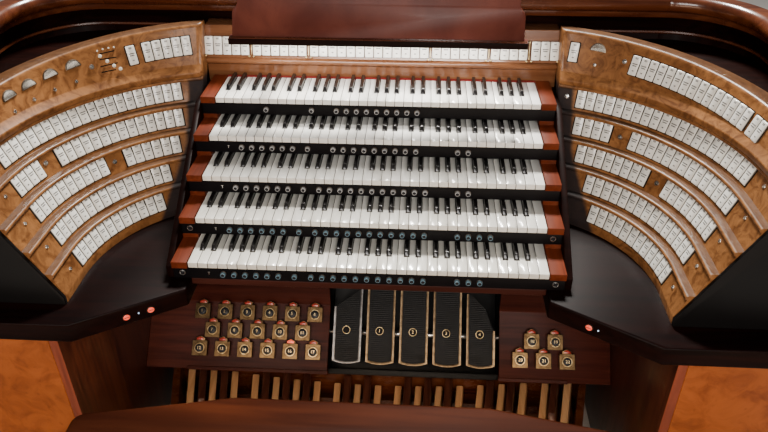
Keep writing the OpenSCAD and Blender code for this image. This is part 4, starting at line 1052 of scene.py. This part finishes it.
class BuildJambFittings(bpy.types.Operator):
    """Builds the swell meters, the sliders and the screws of the jambs"""
    bl_idname = "console.build_jamb_fittings"
    bl_label = "Jamb fittings"

    def execute(self, context):
        meters = Shape()
        rim = [(METER_R * cos(t), METER_R * sin(t)) for t in np.linspace(0, pi, 19)]
        layers = ((1, 0.3), (1, -2.4), (0.93, -3.0), (0.86, -3.0))
        face = sweep([[(x * s, y, z * s) for x, z in rim] for s, y in layers])
        layers = ((0.86, -3.0), (0.84, -1.6))
        dial = sweep([[(x * s, y, 1.2 + z * s * 0.97) for x, z in rim] for s, y in layers])
        needle = box((-0.5, -2.9, 2), (0.5, -2.2, 15), 0.2)
        for side, angles in ((-1, (50.9, 57.8, 64.6, 71.1)), (1, (24.4,))):
            for n, angle in enumerate(angles):
                at = on_side(side, on_top(METER_Z, radians(angle)))
                meters.add(face, at).add(dial, at, 1).add(needle, at @ turned(radians(-35 + 22 * n), "Y"), 2)
        meters.finish("Swell_meters", ("rim", "dial", "piston_eye"), node="swell_meters")
        self.sliders()
        self.screws()
        return {"FINISHED"}

    def sliders(self):
        """Four sliding switches in the left jamb, with pearl knobs and pins above."""
        slots, knobs = Shape(), Shape()
        knob = lathe(((2.0, 0.5), (2.0, -4), (4.4, -5), (5.0, -6.5), (4.6, -8.2), (3.0, -9.3), (0, -9.6)), 16)
        pin = lathe(((1.6, 0.3), (1.8, -3), (2.6, -4), (2.2, -5.4), (0, -6)), 12)
        ring = ((0, 0.5, -1.6), (0, -0.35, -1.3), (0, -0.35, 1.3), (0, 0.5, 1.6))
        for a0, z0, a1, z1 in ((42.8, 361.6, 38.6, 361.6), (43.3, 348.7, 38.6, 345.7),
                               (43.7, 332.3, 38.7, 332.3), (43.9, 318.8, 39.7, 317.4)):
            places = [on_top_face(a0 + t * (a1 - a0), z0 + t * (z1 - z0)) for t in np.linspace(0, 1, 5)]
            # Painted shade: thin dark strips on the face stand for the sliders' slots
            slots.add(sweep_along(places, ring), MIRROR)
        for part, spots in ((knob, ((43.1, 356.6), (41.6, 341.2), (40.1, 327.6), (38.6, 317.1))),
                            (pin, ((43.3, 369.5), (41.7, 370.7), (40.1, 370.6), (38.6, 369.8)))):
            for angle, z in spots:
                knobs.add(part, on_top_face(angle, z, -1))
        slots.finish("Slider_slots", "slot", "black_wood")
        knobs.finish("Slider_knobs", "pearl", "piston")

    def screws(self):
        """Cupped screws on the faces, between the groups and down the straight legs."""
        cups = Shape()
        big, small = screw(6.2, 4.5), screw(4.6, 3.0)
        for side, cup, angle, z in ((-1, big, 46.1, 337.2), (-1, small, 51.6, 314.5),
                                    (-1, small, 58.3, 313.0), (-1, small, 65.0, 309.8),
                                    (-1, small, 71.8, 303.9), (1, small, 24.4, 325.1), (1, big, 32.4, 346.3)):
            cups.add(cup, on_top_face(angle, z, side))
        for side, angle, z, row in ((-1, 72.7, 181.8, 3), (-1, 51.2, 119.2, 2), (1, 18.2, 240.0, 4),
                                    (1, 38.3, 177.7, 3), (1, 57.5, 119.7, 2)):
            cups.add(big, on_side(side, self.row_place(row, z, radians(angle))))
        for side, y, z, row in ((-1, -18, 182, 3), (-1, -35, 122, 2), (-1, -39, 62, 1), (-1, -35, -2, 0),
                                (1, 5, 245, 4), (1, -28, 187, 3), (1, -27, 126, 2), (1, -36, 64, 1),
                                (1, -33, 1, 0)):
            cups.add(small, on_side(side, move(0, y - JAMB_Y, 0) @ self.row_place(row, z, pi / 2)))
        cups.finish("Jamb_screws", "nickel", "steel")

    def row_place(self, row, z, angle):
        """A place on the leaning face of a curved row, at a height."""
        radius = ROW_R + row * ROW_BACK + (z - ROW_Z - row * ROW_UP) * FACE_RUN / FACE_RISE
        return on_jamb(radius, z, angle)


class BuildMusicDesk(bpy.types.Operator):
    """Dresses the music desk and the brackets behind it"""
    bl_idname = "console.build_music_desk"
    bl_label = "Music desk"

    def execute(self, context):
        # Painted shade on the ledge's front edge and underside
        dressed("music_desk", "desk", "case_edge", 3, other="shade", where=is_ledge_edge)
        dressed("desk_brackets", "mahogany_upright", "board_edge")
        # Painted light: a strip of the lighter rail finish on the ledge's top
        strip = box((-DESK_HALF, 409.5, LEDGE_Z - 2.4), (DESK_HALF, 424, LEDGE_Z + 0.2), 1.2)
        Shape().add(strip).finish("Ledge_top", "rail", "mahogany")
        return {"FINISHED"}


class BuildToeStuds(bpy.types.Operator):
    """Builds the toe studs with their numbers and red lamps"""
    bl_idname = "console.build_toe_studs"
    bl_label = "Toe studs"

    def execute(self, context):
        body = box((-20, -20, -0.5), (20, 20, STUD_OUT - 2.5), 1.5)
        plate = box((-23, -23, STUD_OUT - 3), (23, 23, STUD_OUT), 1.0)
        lamp_case = self.gable(((1, -3), (1, -0.6), (0.94, 0)))
        lens = self.gable(((0.72, -1), (0.72, 1.6), (0.55, 2.6), (0.2, 3)))
        ring = lathe(((15, 0.5), (15, -2.0), (14.2, -3.0), (13.0, -3.0), (12.2, -2.0)), 32)
        knob = lathe(((11.5, 0.5), (11.5, -6.6), (10.9, -8.2), (9.4, -8.9), (5, -9.0), (0, -9.0)), 32)
        shape, number = Shape(), 0
        for x0, counts in ((-533, (6, 5, 6)), (430, (3, 2))):
            for n in reversed(range(len(counts))):
                for k in range(counts[n]):
                    number += 1
                    x = x0 + (counts[0] - counts[n]) * STUD_PITCH / 2 + k * STUD_PITCH
                    at = on_slope(x, STUD_LOW + n * STUD_ROW)
                    shape.add(body, at).add(plate, at).add(lamp_case, at)
                    shape.add(lens, at, 4 if number == LIT_STUD else 2)
                    face = at @ move(0, 0, STUD_OUT) @ LIE_DOWN
                    shape.add(ring, face, 1).add(knob, face, 3)
                    shape.add(digits(str(number), 13, 0.5), at @ move(0, 0, STUD_OUT + 9), 1)
        shape.finish("Toe_studs", ("plate", "brass", "stud_lamp", "piston_eye", "lamp"), node="toe_studs")
        return {"FINISHED"}

    def gable(self, layers):
        """A lamp shaped like a gable, from layers of a share of its size and a height above the plate."""
        outline = ((-14, 22.5), (14, 22.5), (14, 30), (0, 37), (-14, 30))
        return sweep([[(x * s, 29 + (y - 29) * s, STUD_OUT + z) for x, y in outline] for s, z in layers])


class BuildShoes(bpy.types.Operator):
    """Builds the five swell shoes with ribbed mats, metal trim and numbers"""
    bl_idname = "console.build_shoes"
    bl_label = "Swell shoes"

    def execute(self, context):
        for k in range(1, 6):
            body, at = f"shoe_{k}", on_slope(SHOE_X[k - 1], 0)
            dressed(f"swell_shoe_{k}", "black", "thin_edge", name=f"Shoe_{k}", body=body)
            outline = self.outline(k)
            high = SHOE_LOW + SHOE_L
            inner = [(x * 0.87, y + 7 * (high - y) / SHOE_L - 1.2) for x, y in outline]
            mat = Shape().add(self.plate(inner, SHOE_PROUD - 0.5, SHOE_PROUD + 1.0), at)
            mat.finish(f"Shoe_mat_{k}", "mat", "shoe_rubber", body=body)
            trim = Shape().add(self.trim([outline[-1]] + outline[:10]), at)
            trim.finish(f"Shoe_trim_{k}", "silver_trim" if k == 1 else "trim", "stud_brass", body=body)
            self.number_ring(k, body)
        dressed("shoe_shaft", "nickel", "shaft_edge")
        return {"FINISHED"}

    def outline(self, k):
        """Outline of a tread, counter-clockwise from its lower left corner."""
        half, low, high = SHOE_W / 2, SHOE_LOW, SHOE_LOW + SHOE_L
        radius = (half * half + 64) / 16
        spread = degrees(asin(half / radius))
        heads = {1: [(half, high - 2), (-half, high - 59)],
                 5: [(half, high - 115), (half - 9.5, high - 98), (half - 25, high - 54),
                     (-half + 22, high - 19), (-half, high - 8)]}
        line = arc((0, low + radius), radius, 270 - spread, 270 + spread, 9)
        return line + heads.get(k, [(half, high), (-half, high)])

    def plate(self, outline, low, high):
        heights = [y for _, y in outline]
        layers = ((1, low), (1, high - 0.4), (0.99, high))
        points, faces, _ = sweep([[(x * s, y, z) for x, y in outline] for s, z in layers])
        along = (points[:, 1] - min(heights)) / (max(heights) - min(heights))
        return points, faces, np.column_stack([points[:, 0] / SHOE_W + 0.5, along])

    def trim(self, path):
        """A raised metal strip down one side of the tread, round its foot and up the other side."""
        section = ((0.4, -1.0), (0.4, 1.2), (1.0, 1.8), (6.6, 1.8), (7.4, 1.2), (7.4, -1.0))
        path = [np.array(p, float) for p in path]
        steps = [(b - a) / np.linalg.norm(b - a) for a, b in zip(path, path[1:])]
        rings = []
        for k, here in enumerate(path):
            before, after = steps[max(k - 1, 0)], steps[min(k, len(steps) - 1)]
            normal = np.array((-(before + after)[1], (before + after)[0]))
            normal /= np.linalg.norm(normal)
            miter = 1 / max(0.5, normal @ np.array((-before[1], before[0])))
            rings.append([(*(here + normal * inset * miter), SHOE_PROUD + z) for inset, z in section])
        return sweep(rings)

    def number_ring(self, k, body):
        at = on_slope(SHOE_X[k - 1] - 3, 132, SHOE_PROUD + 1)
        ring = lathe(((12, 0.4), (12, -1.2), (11.7, -1.6), (10.9, -1.6), (10.5, -1.2), (10.5, 0.4)), 28)
        disc = lathe(((10.5, 0.2), (10.4, -0.5), (0, -0.5)), 28)
        shape = Shape().add(ring, at @ LIE_DOWN).add(disc, at @ LIE_DOWN, 1)
        if k > 1:
            shape.add(digits(str(k - 1), 13, 0.8), at @ move(0, 0, 0.7))
        shape.finish(f"Shoe_number_{k}", ("brass", "slot"), "stud_brass", body=body)


class BuildPedals(bpy.types.Operator):
    """Dresses the pedalboard's pedals and frame"""
    bl_idname = "console.build_pedals"
    bl_label = "Pedalboard"

    def execute(self, context):
        dressed("pedal_naturals", "maple", "pedal_edge", 3, name="Natural_pedals")
        dressed("pedal_sharps", "pedal_dark", "pedal_edge", 3, 20, "Sharp_pedals")
        dressed("pedal_frame", "rail")
        return {"FINISHED"}


class BuildBench(bpy.types.Operator):
    """Dresses the bench"""
    bl_idname = "console.build_bench"
    bl_label = "Bench"

    def execute(self, context):
        dressed("bench_seat", "bench", "bench_edge", 5, 40)
        dressed("bench_frame", "mahogany_upright", "case_edge")
        return {"FINISHED"}


class BuildArmFittings(bpy.types.Operator):
    """Builds the lit buttons and indicators in the arms' front edges"""
    bl_idname = "console.build_arm_fittings"
    bl_label = "Arm fittings"

    def execute(self, context):
        collar = lathe(((9.4, 0.5), (9.4, -2.0), (8.6, -3.0), (7.4, -3.0)), 28)
        lens = lathe(((7.4, 0.0), (7.4, -3.0), (6.8, -3.7), (4.5, -4.2), (0, -4.4)), 28)
        slit = box((-5.5, -4.7, -0.7), (5.5, -3.0, 0.7), 0.2)
        led = lathe(((1.9, 0.4), (1.9, -1.2), (1.3, -2.0), (0, -2.3)), 14)
        shape = Shape()
        for side, share in ((1, 0.38), (-1, 0.33), (-1, 0.54)):
            at = self.on_arm(side, share)
            shape.add(collar, at).add(lens, at, 1).add(slit, at, 3)
        for side, share in ((1, 0.46), (-1, 0.435)):
            shape.add(led, self.on_arm(side, share), 2)
        shape.finish("Arm_buttons", ("rim", "lamp", "led", "piston_eye"), node="arm_buttons")
        return {"FINISHED"}

    def on_arm(self, side, share):
        """A place on the sloping front edge of an arm, at a share of its length."""
        out, forward = ARM_TURN_X - NOTCH_HALF, NOTCH_Y - ARM_FRONT_Y
        here = move(NOTCH_HALF, NOTCH_Y, SLAB_Z + 25) @ turned(-atan(forward / out), "Z")
        return on_side(side, here @ move(share * hypot(out, forward), 0, 0))


# Each light's place and aim, its size across and along, the setting with its power, its tone and its spread
LIGHTS = {
    "Key light": ((0.3, 2.2, 4.1), (0.0, 0.85, 1.2), (0.9, 0.6), "key_watts", (1.0, 0.96, 0.90), 180),
    "Fill light": ((0.1, -3.3, 2.7), (0, 0.45, 1.25), (2.2, 1.0), "fill_watts", (1.0, 0.95, 0.90), 180),
    "Low light": ((0.1, -2.7, 0.85), (0, 0.1, 0.2), (2.4, 0.5), "low_watts", (1.0, 0.70, 0.46), 180),
    "Pedal light": ((0, -0.30, 0.78), (0, 0.03, 0.1), (1.2, 0.08), "pedal_watts", (1.0, 0.78, 0.56), 120),
    "Desk light": ((0, 0.37, 1.236), (0, 0.475, 1.13), (0.72, 0.03), "desk_watts", (1.0, 0.95, 0.90), 180),
}
EYE, YAW, PITCH, ROLL = (118.619, -1328.721, 1020.891), 0.058107457, 0.580520317, -0.00277174199
LENS, SENSOR = 33.75, 36


class BuildStage(bpy.types.Operator):
    """Sets the pale floor, the soft lights and the camera"""
    bl_idname = "console.build_stage"
    bl_label = "Stage"

    def execute(self, context):
        stage = context.scene.console_stage
        mesh = bpy.data.meshes.new("Floor")
        mesh.from_pydata([(-9, -7, 0), (9, -7, 0), (9, 9, 0), (-9, 9, 0)], [], [(0, 1, 2, 3)])
        floor_finish, w, shader, place = new_finish("Floor", Roughness=0.7)
        patches = w.between(w.noise(place, 3.0, 5.0), 0.3, 0.7)
        w.feed(w.mix(patches, stage.floor, [0.94 * c for c in stage.floor]), shader.inputs["Base Color"])
        mesh.materials.append(floor_finish)
        floor = bpy.data.objects.new("Floor", mesh)
        context.scene.collection.objects.link(floor)
        world = bpy.data.worlds.new("Studio")
        world.use_nodes = True
        sockets = world.node_tree.nodes["Background"].inputs
        sockets[0].default_value, sockets[1].default_value = (0.80, 0.76, 0.74, 1), 0.10
        context.scene.world = world
        for name, (place, aim, size, setting, tone, spread) in LIGHTS.items():
            self.light(name, place, aim, size, getattr(stage, setting), tone, spread)
        self.view()
        return {"FINISHED"}

    def light(self, name, place, aim, size, watts, tone, spread):
        data = bpy.data.lights.new(name, "AREA")
        data.shape, data.size, data.size_y = "RECTANGLE", *size
        data.energy, data.color, data.spread = watts, tone, radians(spread)
        light = bpy.data.objects.new(name, data)
        light.location = place
        light.rotation_euler = (Vector(aim) - Vector(place)).to_track_quat("-Z", "Y").to_euler()
        bpy.context.scene.collection.objects.link(light)

    def view(self):
        """The photograph's viewing angle: a little turned, looking down from behind the bench."""
        forward = Vector((-sin(YAW) * cos(PITCH), cos(YAW) * cos(PITCH), -sin(PITCH)))
        right = Vector((cos(YAW), sin(YAW), 0))
        up = right.cross(forward)
        across, upright = right * cos(ROLL) + up * sin(ROLL), up * cos(ROLL) - right * sin(ROLL)
        data = bpy.data.cameras.new("View")
        data.lens, data.sensor_width, data.clip_end = LENS, SENSOR, 50
        camera = bpy.data.objects.new("View", data)
        turn = Matrix((across, upright, -forward)).transposed().to_4x4()
        camera.matrix_world = Matrix.Translation(DATUM @ Vector(EYE)) @ turn
        bpy.context.scene.collection.objects.link(camera)
        bpy.context.scene.camera = camera


OPERATORS = (BuildCase, BuildJambs, BuildTablets, BuildKeys, BuildJambFittings, BuildMusicDesk, BuildToeStuds,
             BuildShoes, BuildPedals, BuildBench, BuildArmFittings, BuildStage)


class ConsolePanel(bpy.types.Panel):
    """Lists the console's pieces and the sizes and colours that they use"""
    bl_idname = "VIEW3D_PT_console"
    bl_label = "Organ console"
    bl_space_type = "VIEW_3D"
    bl_region_type = "UI"
    bl_category = "Console"

    def draw(self, context):
        for operator in OPERATORS:
            self.layout.operator(operator.bl_idname)
        scene = context.scene
        for settings in (scene.console_sizes, scene.console_colours, scene.console_stage):
            box_layout = self.layout.box()
            for name in settings.__annotations__:
                box_layout.prop(settings, name)


CLASSES = (ConsoleSizes, ConsoleColours, StageSettings, *OPERATORS, ConsolePanel)


def register():
    for each in CLASSES:
        bpy.utils.register_class(each)
    bpy.types.Scene.console_sizes = PointerProperty(type=ConsoleSizes)
    bpy.types.Scene.console_colours = PointerProperty(type=ConsoleColours)
    bpy.types.Scene.console_stage = PointerProperty(type=StageSettings)


def unregister():
    del bpy.types.Scene.console_sizes, bpy.types.Scene.console_colours, bpy.types.Scene.console_stage
    for each in reversed(CLASSES):
        bpy.utils.unregister_class(each)


def main():
    register()
    for operator in OPERATORS:
        getattr(bpy.ops.console, operator.bl_idname.split(".")[1])()


if __name__ == "__main__":
    main()
